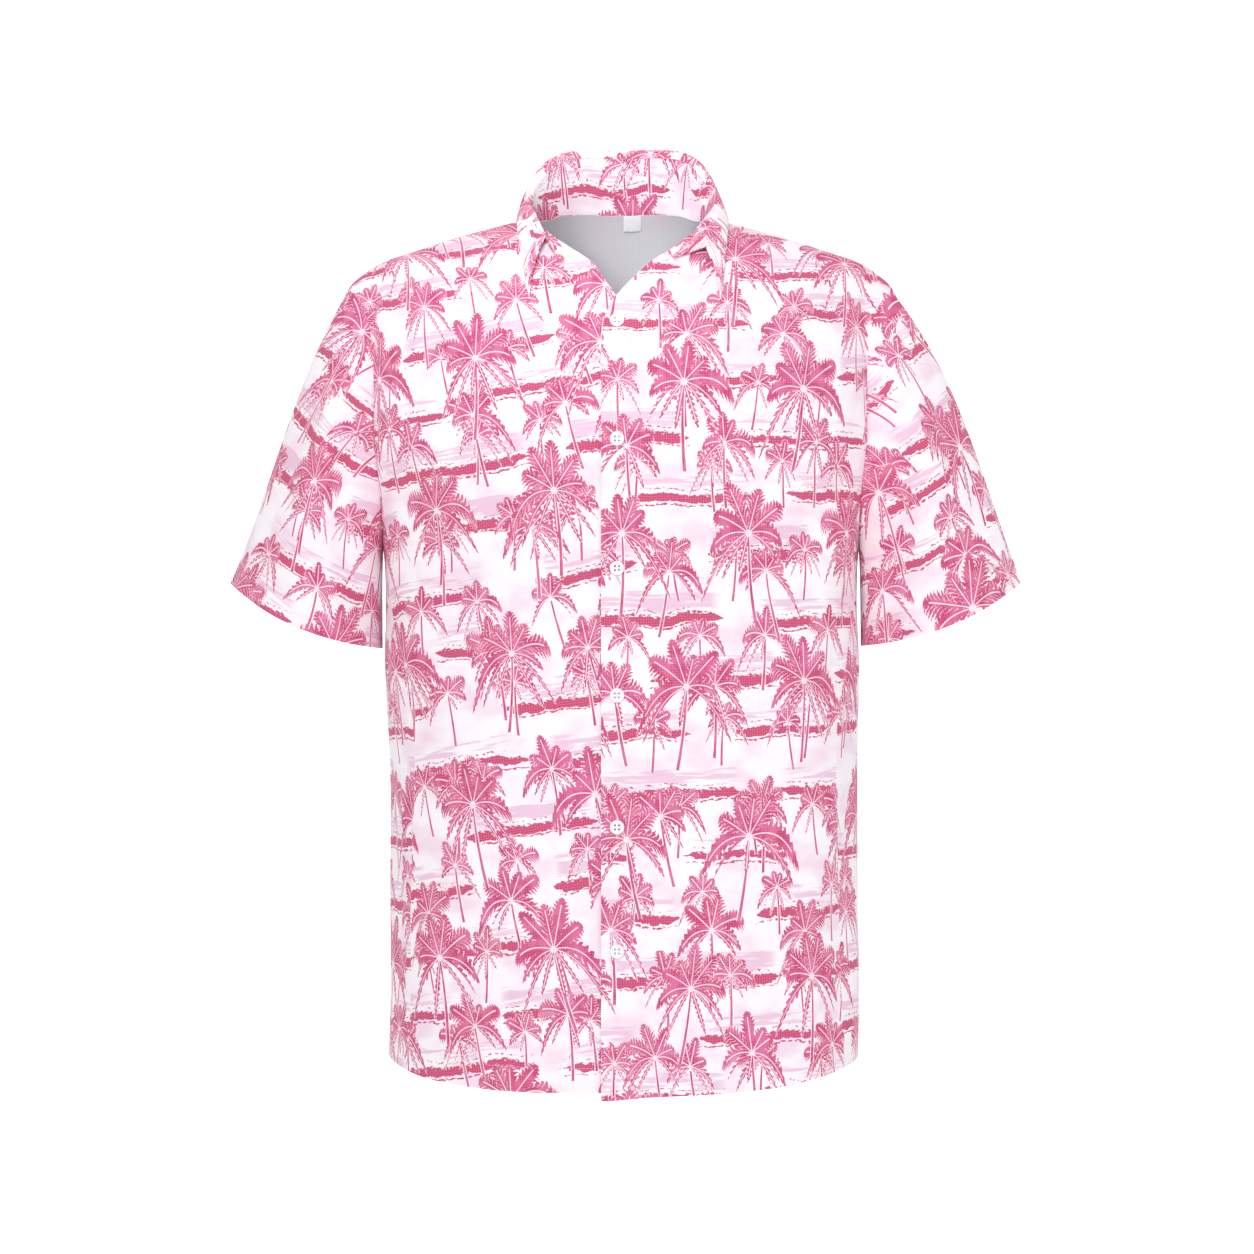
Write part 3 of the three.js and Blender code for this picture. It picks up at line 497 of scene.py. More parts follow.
def add_mesh(name, vertices, faces, materials, slots=None, attributes=None):
    """A smooth piece from lists in millimetres, sharp where its faces meet steeply."""
    mesh = bpy.data.meshes.new(name)
    faces = [[int(i) for i in face] for face in faces]
    mesh.from_pydata((np.asarray(vertices, float) * MM).tolist(), [], faces)
    for material in materials:
        mesh.materials.append(material)
    if slots is not None:
        mesh.polygons.foreach_set("material_index", np.asarray(slots, np.int32))
    for key, values in (attributes or {}).items():
        layer = mesh.attributes.new(key, "FLOAT_VECTOR", "POINT")
        layer.data.foreach_set("vector", np.asarray(values, np.float32).ravel())
    smooth_sides(mesh, CLOTH_SHARP_ANGLE)
    mesh.update()
    return link(bpy.data.objects.new(name, mesh))


def wall_faces(columns, rows, closed):
    """Quads of a wall between two grids, and which of them are on its inner side."""
    spans = columns if closed else columns - 1
    c, r = np.meshgrid(np.arange(spans), np.arange(rows - 1), indexing="ij")
    after = (c + 1) % columns
    size = columns * rows
    outer = np.stack([c * rows + r, after * rows + r, after * rows + r + 1, c * rows + r + 1], -1)
    outer = outer.reshape(-1, 4)
    inner = outer[:, ::-1] + size
    k = np.arange(spans)
    low, low_after = k * rows, (k + 1) % columns * rows
    bottom = np.stack([low, low + size, low_after + size, low_after], -1)
    top = np.stack([low, low_after, low_after + size, low + size], -1) + rows - 1
    rims = [bottom, top]
    if not closed:
        j = np.arange(rows - 1)
        end = (columns - 1) * rows
        rims.append(np.stack([j, j + 1, j + 1 + size, j + size], -1))
        rims.append(np.stack([j, j + size, j + 1 + size, j + 1], -1) + end)
    faces = np.concatenate([outer, inner] + rims)
    slots = np.zeros(len(faces), np.int32)
    slots[len(outer):2 * len(outer)] = 1
    return faces, slots


def signed_volume(vertices, faces):
    """Six times the volume inside the quads, below zero if they face inwards."""
    corners = vertices[faces]
    first = np.einsum("ij,ij->i", corners[:, 0], np.cross(corners[:, 1], corners[:, 2]))
    second = np.einsum("ij,ij->i", corners[:, 0], np.cross(corners[:, 2], corners[:, 3]))
    return first.sum() + second.sum()


def add_wall(name, outer, inner, places, materials, closed=False):
    """A closed wall of cloth between two grids, with the flat places of its cut."""
    columns, rows = outer.shape[:2]
    faces, slots = wall_faces(columns, rows, closed)
    vertices = np.concatenate([outer.reshape(-1, 3), inner.reshape(-1, 3)])
    if signed_volume(vertices, faces) < 0:
        faces = faces[:, ::-1]
    flat = np.concatenate([places, np.zeros(places.shape[:2] + (1,))], -1).reshape(-1, 3)
    flat = np.concatenate([flat, flat])
    return add_mesh(name, vertices, faces, materials, slots, {"cloth": flat})


def placed(places, shift=(0, 0), tilt=0.0):
    """Flat places moved and turned, so that the print falls differently on each piece."""
    c, s = math.cos(math.radians(tilt)), math.sin(math.radians(tilt))
    x, y = places[..., 0], places[..., 1]
    return np.stack([c * x + s * y + shift[0], c * y - s * x + shift[1]], -1)


# Materials
class Value:
    """A socket's value; arithmetic on it adds Math nodes."""

    def __init__(self, paint, socket):
        self.paint = paint
        self.socket = socket

    def math(self, operation, *others):
        inputs = dict(enumerate((self, *others)))
        return self.paint.node("ShaderNodeMath", {"operation": operation}, inputs)[0]

    def reversed(self, operation, other):
        return self.paint.node("ShaderNodeMath", {"operation": operation}, {0: other, 1: self})[0]

    def __add__(self, other):
        return self.math("ADD", other)

    __radd__ = __add__

    def __sub__(self, other):
        return self.math("SUBTRACT", other)

    def __rsub__(self, other):
        return self.reversed("SUBTRACT", other)

    def __mul__(self, other):
        return self.math("MULTIPLY", other)

    __rmul__ = __mul__

    def __truediv__(self, other):
        return self.math("DIVIDE", other)

    def __rtruediv__(self, other):
        return self.reversed("DIVIDE", other)

    def __pow__(self, other):
        return self.math("POWER", other)

    def __abs__(self):
        return self.math("ABSOLUTE")

    def __lt__(self, other):
        return self.math("LESS_THAN", other)

    def __gt__(self, other):
        return self.math("GREATER_THAN", other)

    def scaled(self, size, shift=0.0):
        """The value in units of a size, moved by a shift."""
        return self.math("MULTIPLY_ADD", 1 / size, shift)

    def floor(self):
        return self.math("FLOOR")

    def fract(self):
        return self.math("FRACT")

    def root(self):
        return self.math("SQRT")

    def sine(self):
        return self.math("SINE")

    def angle_to(self, other):
        return self.math("ARCTAN2", other)

    def least(self, other):
        return self.math("MINIMUM", other)

    def most(self, other):
        return self.math("MAXIMUM", other)

    def ramp(self, low, high, to_low=0.0, to_high=1.0):
        """Eased from to_low at low to to_high at high."""
        inputs = {"Value": self, "From Min": low, "From Max": high,
                  "To Min": to_low, "To Max": to_high}
        settings = {"interpolation_type": "SMOOTHSTEP"}
        return self.paint.node("ShaderNodeMapRange", settings, inputs)[0]


class Paint:
    """Builds one material's nodes."""

    def __init__(self, name):
        self.material = bpy.data.materials.new(name)
        self.material.use_nodes = True
        self.tree = self.material.node_tree
        self.shader = self.tree.nodes["Principled BSDF"]

    def set(self, socket, value):
        if isinstance(value, Value):
            self.tree.links.new(value.socket, socket)
        elif value is not None:
            socket.default_value = value

    def node(self, kind, settings=None, inputs=None):
        made = self.tree.nodes.new(kind)
        for key, value in (settings or {}).items():
            setattr(made, key, value)
        for key, value in (inputs or {}).items():
            self.set(made.inputs[key], value)
        return [Value(self, output) for output in made.outputs]

    def finish(self, **inputs):
        for key, value in inputs.items():
            self.set(self.shader.inputs[key.replace("_", " ")], value)
        return self.material

    def place(self):
        """The flat cloth coordinates, in millimetres: across, up and both as a vector."""
        vector = self.node("ShaderNodeAttribute", {"attribute_name": "cloth"})[1]
        x, y, _ = self.node("ShaderNodeSeparateXYZ", None, {0: vector})
        return x, y

    def vector(self, x, y, z=0.0):
        return self.node("ShaderNodeCombineXYZ", None, {0: x, 1: y, 2: z})[0]

    def random(self, x, y):
        """Three random numbers for a place."""
        colour = self.node("ShaderNodeTexWhiteNoise", {"noise_dimensions": "2D"},
                           {"Vector": self.vector(x, y)})[1]
        return self.node("ShaderNodeSeparateColor", None, {0: colour})

    def noise(self, x, y, detail=1.0):
        """Soft noise about 0, one feature for each unit of x and y."""
        made = self.node("ShaderNodeTexNoise", {"noise_dimensions": "2D"}, {
            "Vector": self.vector(x, y), "Scale": 1.0, "Detail": detail})
        return made[0] - 0.5

    def mix(self, low, high, factor):
        inputs = {0: factor, 6: low, 7: high}
        return self.node("ShaderNodeMix", {"data_type": "RGBA"}, inputs)[2]

    def bump(self, height, strength, distance):
        inputs = {"Height": height, "Strength": strength, "Distance": distance}
        return self.node("ShaderNodeBump", None, inputs)[0]


def srgb(red, green, blue):
    """A colour as linear light, from its 0 to 255 values on a screen."""
    linear = [c / 3294.6 if c <= 10.31 else ((c / 255 + 0.055) / 1.055) ** 2.4
              for c in (red, green, blue)]
    return (*linear, 1.0)


WHITE_GROUND = srgb(249, 244, 248)
BARE_LINE = srgb(246, 224, 235)
PINK = srgb(217, 105, 148)
DEEP_PINK = srgb(199, 57, 109)
SHORE_PINK = srgb(200, 55, 105)
WASH_PINK = srgb(240, 209, 226)
HAZE = srgb(230, 190, 215)

# Lattices of the print: the cell of one palm, where its crown is, its fronds and trunk
PALM_COLUMNS = ("width", "height", "x", "y", "shift", "crown", "jitter", "reach", "fronds",
                "half_leaf", "arch", "pitch", "trunk", "seed")
PALMS = (
    (104, 121, 20, 0, 0.5, 0.58, 4, 46, 12, 8.6, 0.026, 4.4, 70, 3.0),
    (81, 98, 70, 52, 0.43, 0.62, 4, 34, 11, 7.0, 0.035, 3.6, 60, 11.0),
    (58, 69, 8, 30, 0.36, 0.66, 3, 24, 10, 5.2, 0.048, 2.9, 44, 23.0),
)
BARE_EDGE = 0.75


def palm_lattice(paint, u, v, palm, grain):
    """Masks of one lattice of palms: its ink, the white round it and its white lines."""
    y = v - palm["y"]
    row = y.scaled(palm["height"]).floor()
    x = u + row * (palm["width"] * palm["shift"]) - palm["x"]
    column = x.scaled(palm["width"]).floor()
    right, up, kind = paint.random(column + palm["seed"], row)[:3]
    spread = 2 * palm["jitter"]
    x = x - column * palm["width"] - right * spread + (palm["jitter"] - palm["width"] / 2)
    y = y - row * palm["height"] - up * spread + (palm["jitter"] - palm["crown"] * palm["height"])
    size = kind * 0.2 + 0.86
    x = x / (size * ((kind * 7).fract() > 0.5).scaled(0.5, -1.0))
    y = y / size

    # The fronds arch over, the low ones most: each is straight once its arch is added back
    slope = (y / (abs(x) + 1)).ramp(-1.2, 1.1, palm["arch"], palm["arch"] * 0.2)
    arched = y + x * x * slope
    reach = (x * x + arched * arched).root()
    sector = x.angle_to(arched) * (palm["fronds"] / (2 * math.pi)) + right * 0.7
    index = (sector + 0.5).floor()
    longer, turned, style = paint.random(index + column * 31, row + palm["seed"])[:3]
    across = (sector - index - turned * 0.4 + 0.2) * reach * (2 * math.pi / palm["fronds"])
    upward = arched / (reach + 0.1)
    share = reach / ((longer * 0.42 + 0.58) * palm["reach"])
    body = share.least(1.0).root() * (1 - share).most(0.0) ** 0.5
    kept = ((turned > 0.5) + (upward > -0.35)).least(1.0)
    half = body * (style * 0.6 + 1.5) * upward.ramp(-0.8, 0.6, 0.36, 1.15) * kept
    half = half * palm["half_leaf"]
    off = abs(across)
    # Leaflets point outwards and part from each other towards their tips
    tooth = ((reach - off * 1.7) / palm["pitch"] + (across > 0) * 0.45 + grain * 1.6).fract()
    limit = half * (1.12 - tooth * (style * 0.3 + 0.52)) * (grain + 1)
    inside = share < 1.0
    frond = (off < limit) * inside * kept
    rib = (off < 0.42) * (share < 0.86) * (half > 1.1)
    slit = (tooth > 0.86) * (off > half * 0.2) * (half > 3.0) * (style > 0.45) * frond
    heart = reach < (palm["reach"] * 0.06)
    bare = (rib + slit + heart).least(1.0)

    lean = (up - 0.5) * 0.24
    off_trunk = abs(x - y * lean - y * y * 0.0012)
    half_trunk = y * -0.010 + 0.65
    on_trunk = (y < -3) * (y > -palm["trunk"])
    trunk = (off_trunk < half_trunk) * on_trunk
    ring = (off < limit + BARE_EDGE) * inside * kept
    ring = ring + (off_trunk < half_trunk + BARE_EDGE) * on_trunk
    return (frond + trunk).least(1.0), ring.least(1.0), bare


def shore_lattice(paint, u, v):
    """Masks of the ragged strokes that cross the print, and of the haze over them."""
    width, height = 158, 49
    wobble = paint.noise(u.scaled(34, 4), v.scaled(60))
    y = v + wobble * 9
    row = y.scaled(height).floor()
    x = u + row * (width * 0.37)
    column = x.scaled(width).floor()
    length, up, weight = paint.random(column + 41.0, row)[:3]
    x = x - column * width - width / 2
    y = y - row * height - up * 12 + (6 - height / 2)
    ends = 1 - (abs(x) / (length * 34 + 45)) ** 4
    ragged = paint.noise(u.scaled(6, 9), v.scaled(4), detail=3)
    half = (ends * 1.6).least(1.0) * (weight * 1.9 + 3.2) + ragged * 5
    pebbles = paint.noise(u.scaled(3.4), v.scaled(1.8, 3), detail=2)
    stroke = (abs(y) < half) * (pebbles < (3.4 - y) * 0.11)
    broken = pebbles * 4 + ends * 0.7
    under = (abs(y + 6.2 + ragged * 3) < (broken - 0.1).least(0.95)) * (ends > 0)
    over = (abs(y - 6.6 - ragged * 4) < (broken - 0.55).least(0.95)) * (ends > 0)
    streaks = paint.noise(u.scaled(36, 6), v.scaled(3.2), detail=3)
    above = y.scaled(9.5, -14 / 9.5)
    haze = streaks * 3.2 - above * above + weight * 0.8
    return (stroke + under + over).least(1.0), haze.ramp(0, 0.5) * ends.ramp(0.1, 0.6)


def thread_pattern(u, v, pitch):
    """The weave: one thread over the other, as a height from 0 to 1."""
    turn = 2 * math.pi / pitch
    return ((u * turn).sine() * 0.5 + 0.5) * ((v * turn).sine() * 0.5 + 0.5)


def woven_bump(paint, u, v):
    """Height of the cloth's threads, and of the fine squares that show in it."""
    squares = ((u.scaled(2.1).fract() < 0.18) + (v.scaled(2.1).fract() < 0.18)).least(1.0)
    slubs = paint.noise(u.scaled(1.2), v.scaled(9, 14))
    return thread_pattern(u, v, 0.55) * 0.5 + squares * 0.5 + slubs, squares


def printed_cloth():
    """Thin white weave, printed with washes, haze, shores and palms, the small ones first."""
    paint = Paint("printed_cloth")
    u, v = paint.place()
    grain = paint.noise(u.scaled(2.4), v.scaled(2.4), detail=2) * 0.6
    height, squares = woven_bump(paint, u, v)
    wash = paint.noise(u.scaled(40, 21), v.scaled(26), detail=2)
    colour = paint.mix(WHITE_GROUND, WASH_PINK, wash.ramp(-0.11, 0.3, 0.02, 0.75))
    stroke, haze = shore_lattice(paint, u, v)
    colour = paint.mix(colour, HAZE, haze * 0.85)
    colour = paint.mix(colour, SHORE_PINK, stroke * 0.97)
    tone = paint.noise(u.scaled(12, 30), v.scaled(12), detail=2).ramp(-0.2, 0.2)
    ink = paint.mix(DEEP_PINK, PINK, tone)
    for row in reversed(PALMS):
        palm = dict(zip(PALM_COLUMNS, row))
        printed, ring, bare = palm_lattice(paint, u, v, palm, grain)
        colour = paint.mix(colour, WHITE_GROUND, ring * 0.85)
        colour = paint.mix(colour, ink, printed)
        colour = paint.mix(colour, BARE_LINE, bare)
    colour = paint.mix(colour, WASH_PINK, squares * 0.2)
    return paint.finish(
        Base_Color=colour, Roughness=0.86, Specular_IOR_Level=0.25,
        Sheen_Weight=0.08, Normal=paint.bump(height, 0.25, 0.00012))


def wrong_side():
    """The cloth's unprinted side, with the print faintly showing through."""
    paint = Paint("wrong_side")
    u, v = paint.place()
    height, squares = woven_bump(paint, u, v)
    show_through = paint.noise(u.scaled(30, 5), v.scaled(24), detail=3).ramp(-0.1, 0.3)
    colour = paint.mix(srgb(227, 226, 231), srgb(231, 221, 228), show_through)
    colour = paint.mix(colour, srgb(208, 206, 213), squares * 0.6)
    return paint.finish(
        Base_Color=colour, Roughness=0.9, Specular_IOR_Level=0.2,
        Normal=paint.bump(height, 0.3, 0.00012))


def label_tape():
    """Satin tape: a fine even weave with slubs."""
    paint = Paint("label_tape")
    u, v = paint.place()
    slubs = paint.noise(u.scaled(0.8), v.scaled(6), detail=2)
    height = thread_pattern(u, v, 0.3) + slubs
    colour = paint.mix(srgb(254, 254, 255), srgb(243, 243, 247), slubs.ramp(-0.1, 0.3))
    return paint.finish(
        Base_Color=colour, Roughness=height.ramp(0, 1, 0.5, 0.62), Sheen_Weight=0.1,
        Normal=paint.bump(height, 0.25, 0.00006))


def plain(name, colour, roughness, scale, depth, strength=0.3, **more):
    """A one-coloured finish with a fine grain of its own."""
    paint = Paint(name)
    place = paint.node("ShaderNodeTexCoord")[3]
    grain = paint.node("ShaderNodeTexNoise", None, {
        "Vector": place, "Scale": scale, "Detail": 3.0})[0]
    shade = tuple(c * 0.9 for c in colour[:3]) + (1.0,)
    return paint.finish(
        Base_Color=paint.mix(shade, colour, grain.ramp(0.3, 0.6)),
        Roughness=grain.ramp(0.2, 0.8, roughness - 0.06, roughness + 0.06),
        Normal=paint.bump(grain, strength, depth), **more)


PRINTED = printed_cloth()
WRONG = wrong_side()
BUTTON = plain("button_plastic", srgb(247, 243, 245), 0.26, 260, 0.00005, Coat_Weight=0.3)
THREAD = plain("sewing_thread", srgb(247, 240, 245), 0.7, 2500, 0.0001)
TAPE = label_tape()


# Cloth panels
pieces = {}
grids = {name: body_grid("front", piece["side"], piece) for name, piece in FRONTS.items()}
back_halves = {side: body_grid("back", side, {}) for side in (-1, 1)}
grids["back"] = np.concatenate([back_halves[-1][::-1], back_halves[1][1:]])
piece = FRONTS["left"]
lift = piece["lift"] * (1 - smoothstep(grids["left"][..., 0], LIFT_ENDS_X, LIFT_STARTS_X))
grids["left"] = grids["left"] + outward_normals(grids["left"]) * lift[..., None]
normals = {name: outward_normals(grid) for name, grid in grids.items()}


def armhole_ring(front_edge, back_edge):
    """Points round the armhole from under the arm, up the back, over and down the front."""
    front = front_edge[ROWS_BODY:][::-1]
    back = back_edge[ROWS_BODY:]
    down = steps_along(front) / steps_along(front)[-1] * 180
    up = steps_along(back) / steps_along(back)[-1] * 180 - 180
    return np.concatenate([back[:-1], front]), np.concatenate([up[:-1], down])


def sleeve_grid(spec, ring, angles):
    """Eased curves from the armhole's ring to the hem's oval, with the sleeve's folds."""
    outer = np.array((spec["outer"][0], SLEEVE_MIDDLE_Y, spec["outer"][1]), float)
    inner = np.array((spec["inner"][0], SLEEVE_MIDDLE_Y, spec["inner"][1]), float)
    middle, out = (outer + inner) / 2, unit(outer - inner)
    half_width = np.linalg.norm(outer - inner) / 2
    side = spec["side"]
    down = np.array((side * out[2], 0, -side * out[0]))
    cosine, sine = cos(angles)[:, None], sin(angles)[:, None]
    drop = np.where(sine > 0, SLEEVE_HEM_DROP["front"], SLEEVE_HEM_DROP["back"])
    end = (middle + out * half_width * cosine
           + np.array((0, -SLEEVE_HALF_DEPTH, 0)) * sine + down * drop * sine**2)
    top_out = spec["top_out"]
    ways = {**SLEEVE_START, "top": (top_out, 0, math.sqrt(1 - top_out**2))}
    start = {key: np.array((side * o, -f, -d)) for key, (o, f, d) in ways.items()}
    upright = np.where(cosine > 0, start["top"], start["under"])
    level = np.where(sine > 0, start["front"], start["back"])
    begin = unit(upright * cosine**2 + level * sine**2)
    finish = unit(lerp(down, np.array((0, 0, -1)), np.maximum(-cosine, 0)))
    length = np.linalg.norm(ring - end, axis=1)[:, None, None]
    t = (np.arange(ROWS_SLEEVE + 1) / ROWS_SLEEVE)[None, :, None]
    t2, t3 = t * t, t * t * t
    place = (ring[:, None] * (2 * t3 - 3 * t2 + 1) + begin[:, None] * length * (t3 - 2 * t2 + t)
             + end[:, None] * (3 * t2 - 2 * t3) + finish[:, None] * length * (t3 - t2))
    t = t[..., 0]
    axis = points(lerp(side * ARMHOLE_X, middle[0], t) + 0 * place[..., 0],
                  lerp(0, middle[1], t) + 0 * place[..., 0], place[..., 2])
    x, y = angles[:, None] * SLEEVE_MM_PER_DEGREE, t * SLEEVE_LENGTH
    fold = sum(fold_sum(folds, "angle", "down", SLEEVE_MM_PER_DEGREE, SLEEVE_LENGTH, x, y)
               for folds in (SLEEVE_FOLDS, SLEEVE_CREASES))
    return place + unit(place - axis) * (fold * smoothstep(t, 0, 0.25))[..., None]


def share_normals(one, other):
    """Pieces that meet at a seam share one direction through the cloth there."""
    shared = unit(one + other)
    one[:] = shared
    other[:] = shared


SLEEVE_GIRTH = 400
SLEEVE_PRINT = {"left": ((930, 60), -4), "right": ((410, 310), 4)}
sleeve_grids, sleeve_normals = {}, {}
for name, spec in SLEEVES.items():
    side = spec["side"]
    back_column = 0 if side < 0 else -1
    ring, angles = armhole_ring(grids[name][-1], grids["back"][back_column])
    sleeve = sleeve_grid(spec, ring, angles)
    centre = ((spec["outer"][0] + side * ARMHOLE_X) / 2, 0,
              (spec["outer"][1] + UNDERARM_LEVEL) / 2)
    away = outward_normals(sleeve, centre)
    share_normals(normals[name][-1, :ROWS_BODY + 1], normals["back"][back_column, :ROWS_BODY + 1])
    back_top = normals["back"][::side][COLUMNS + COLUMNS_NECK:, ROWS]
    share_normals(normals[name][COLUMNS_NECK:, ROWS], back_top)
    steps = ROWS - ROWS_BODY
    share_normals(normals["back"][back_column, ROWS_BODY:ROWS], away[:steps, 0])
    share_normals(normals[name][-1, ROWS_BODY:], away[steps:, 0][::-1])
    sleeve_grids[name], sleeve_normals[name] = sleeve, away
    from_hem = steps_along(sleeve)[:, -1:] - steps_along(sleeve)
    flat = np.stack([angles[:, None] / 360 * SLEEVE_GIRTH * side + 0 * from_hem, from_hem], -1)
    shift, tilt = SLEEVE_PRINT[name]
    pieces["sleeve_" + name] = add_wall(
        "sleeve_%s_cloth" % name, sleeve, sleeve - away * SHEET, placed(flat, shift, tilt),
        (PRINTED, WRONG))

BODY_PRINT = {
    "left": ("front_left", 1, (130, 700), 1),
    "right": ("front_right", -1, (520, 655), 8),
    "back": ("back", 0, (1500, 690), 0),
}
for name, (node, side, shift, tilt) in BODY_PRINT.items():
    grid = grids[name]
    flat = placed(cloth_places(grid, side), shift, tilt)
    pieces[node] = add_wall(
        node + "_cloth", grid, grid - normals[name] * SHEET, flat, (PRINTED, WRONG))


# Collar
ROWS_STAND = 12
ROWS_RISING = 6  # of the leaf, from its seam to the roll


def collar_table():
    """The collar's table from its right end to its left, at every column of its grid."""
    rows = COLLAR_RIGHT[::-1] + (COLLAR_BACK,) + COLLAR_LEFT
    columns = table("place " + COLLAR_COLUMNS, [(i, *row) for i, row in enumerate(rows)])
    at = np.arange((len(rows) - 1) * COLUMNS_COLLAR + 1) / COLUMNS_COLLAR
    return {key: along(columns, at, key) for key in COLLAR_COLUMNS.split()}


def add_collar():
    """The stand, and the leaf that rises from it, rolls and falls to the shoulders."""
    c = collar_table()
    neck = np.stack([c["neck_x"], c["neck_y"]], -1)
    way = np.concatenate([neck[1:], neck[-1:]]) - np.concatenate([neck[:1], neck[:-1]])
    out = unit(points(-way[:, 1], way[:, 0], 0 * way[:, 0]))
    foot = np.array([on_shoulder(x, y, STAND_GAP) for x, y in neck])
    moved = neck + out[:, :2] * CLOTH
    outer_foot = np.array([on_shoulder(x, y, STAND_GAP) for x, y in moved])
    seam = points(c["seam_x"], c["seam_y"], c["seam_z"])
    t = np.linspace(0, 1, ROWS_STAND + 1)[None, :, None]
    stand_inner = lerp(foot[:, None], seam[:, None], t)
    stand_outer = lerp(outer_foot[:, None], (seam + out * CLOTH)[:, None], t)
    run = steps_along(seam)
    run = (run - run[len(run) // 2])[:, None]
    rise = steps_along(stand_inner)
    flat = np.stack([run + 0 * rise, rise], -1)
    pieces["collar_stand"] = add_wall(
        "collar_stand_cloth", stand_outer, stand_inner, placed(flat, (838, 446)),
        (PRINTED, PRINTED))

    roll = points(c["roll_x"], c["roll_y"], c["roll_z"])
    rest = np.array([on_shoulder(x, y, LEAF_REST) for x, y in zip(c["edge_x"], c["edge_y"])])
    start = seam + np.array((0, 0, SEAM_GAP))
    control = (roll + rest) / 2 + out * LEAF_BULGE
    t = np.linspace(0, 1, ROWS_RISING + 1)[None, :-1, None]
    rising = lerp(start[:, None], roll[:, None], t)
    t = np.linspace(0, 1, ROWS_FALL + 1)[None, :, None]
    falling = (roll[:, None] * (1 - t) ** 2 + control[:, None] * 2 * t * (1 - t)
               + rest[:, None] * t * t)
    inner = np.concatenate([rising, falling], axis=1)
    through = normals_of(inner)
    through = through * np.sign(through[len(through) // 2, 0, 1])
    through[:, 0] = out
    outer = inner + through * CLOTH
    rise = steps_along(inner)
    flat = np.stack([run + 0 * rise, rise], -1)
    pieces["collar_leaf"] = add_wall(
        "collar_leaf_cloth", outer, inner, placed(flat, (838, 500)), (PRINTED, PRINTED))
    return outer, through


collar_surface = add_collar()


# Buttons
def front_at(x, z):
    """The top front's surface at a place of the opening."""
    if z > CHEST_LEVEL:
        return shoulder_point("front", np.float64(x), turn_at_height("front", np.float64(x), z))
    half_width = along(SECTIONS, np.float64(z), "left")
    return body_point(1, angle_at(np.float64(x), half_width), np.float64(z))


def button_place(level):
    """A frame whose z axis leaves the cloth, at a button's centre on the cloth."""
    step = 4
    normal = unit(np.cross(front_at(BUTTON_X + step, level) - front_at(BUTTON_X - step, level),
                           front_at(BUTTON_X, level + step) - front_at(BUTTON_X, level - step)))
    origin = front_at(BUTTON_X, level) + normal * TOP_LAYER_LIFT
    right = unit(np.cross(np.array((0, 0, 1.0)), normal))
    up = np.cross(normal, right)
    return origin, np.stack([right, up, normal], axis=1)


HOLE_OFFSET = 1.6
HOLE_RADIUS = 0.85
HOLE_SIDES = 12
BUTTON_SIDES = 40
# The button's section: distance from its middle and height
BUTTON_SECTION = (
    (0.0, 0.5), (5.0, 0.45), (5.6, 0.7), (5.9, 1.15), (5.88, 1.75), (5.6, 2.2), (5.2, 2.42),
    (4.75, 2.42), (4.3, 2.2), (3.9, 1.9), (3.5, 1.75), (0.0, 1.7),
)


def circle(bm, centre, radius, height, sides):
    """New vertices round a centre."""
    turns = [2 * math.pi * k / sides for k in range(sides)]
    return [bm.verts.new((centre[0] + radius * math.cos(turn),
                          centre[1] + radius * math.sin(turn), height)) for turn in turns]


def skin(bm, low, high):
    """A band of faces between two rings."""
    for k in range(len(low)):
        j = (k + 1) % len(low)
        bm.faces.new((low[k], low[j], high[j], high[k]))


def button_mesh():
    """A turned disc with a raised rim and a dished middle, bored by four holes."""
    bm = bmesh.new()
    rings = [circle(bm, (0, 0), radius, height, BUTTON_SIDES)
             for radius, height in BUTTON_SECTION[1:-1]]
    for low, high in zip(rings, rings[1:]):
        skin(bm, low, high)
    faces_of_disc = [[rings[0]], [rings[-1]]]
    for sx, sy in ((1, 1), (-1, 1), (-1, -1), (1, -1)):
        centre = (sx * HOLE_OFFSET, sy * HOLE_OFFSET)
        ends = [circle(bm, centre, HOLE_RADIUS, height, HOLE_SIDES)
                for height in (BUTTON_SECTION[0][1], BUTTON_SECTION[-1][1])]
        skin(bm, ends[1], ends[0])
        for loops, end in zip(faces_of_disc, ends):
            loops.append(end)
    for loops in faces_of_disc:
        edges = [bm.edges.get((vertex, loop[(k + 1) % len(loop)]))
                 for loop in loops for k, vertex in enumerate(loop)]
        bmesh.ops.triangle_fill(bm, edges=edges, use_beauty=True)
    bmesh.ops.recalc_face_normals(bm, faces=bm.faces)
    mesh = bpy.data.meshes.new("button")
    bm.to_mesh(mesh)
    bm.free()
    return mesh


TUBE_TAPER = 0.45


def tube(path, radius, sides=6):
    """Vertices and faces of a closed tube along a path, with tapered ends."""
    way = unit(np.gradient(path, axis=0))
    slanted = np.array((0.31, 0.52, 0.79))  # along no thread
    across = unit(np.cross(way, slanted))
    other = np.cross(way, across)
    turn = np.arange(sides) * 2 * math.pi / sides
    sizes = np.full(len(path), radius)
    sizes[[0, -1]] = radius * TUBE_TAPER
    rings = (path[:, None] + across[:, None] * (np.cos(turn)[:, None] * sizes[:, None, None])
             + other[:, None] * (np.sin(turn)[:, None] * sizes[:, None, None]))
    faces = []
    for i in range(len(path) - 1):
        for k in range(sides):
            j = (k + 1) % sides
            faces.append((i * sides + k, i * sides + j, (i + 1) * sides + j, (i + 1) * sides + k))
    faces.append(tuple(range(sides))[::-1])
    faces.append(tuple((len(path) - 1) * sides + k for k in range(sides)))
    return rings.reshape(-1, 3), faces


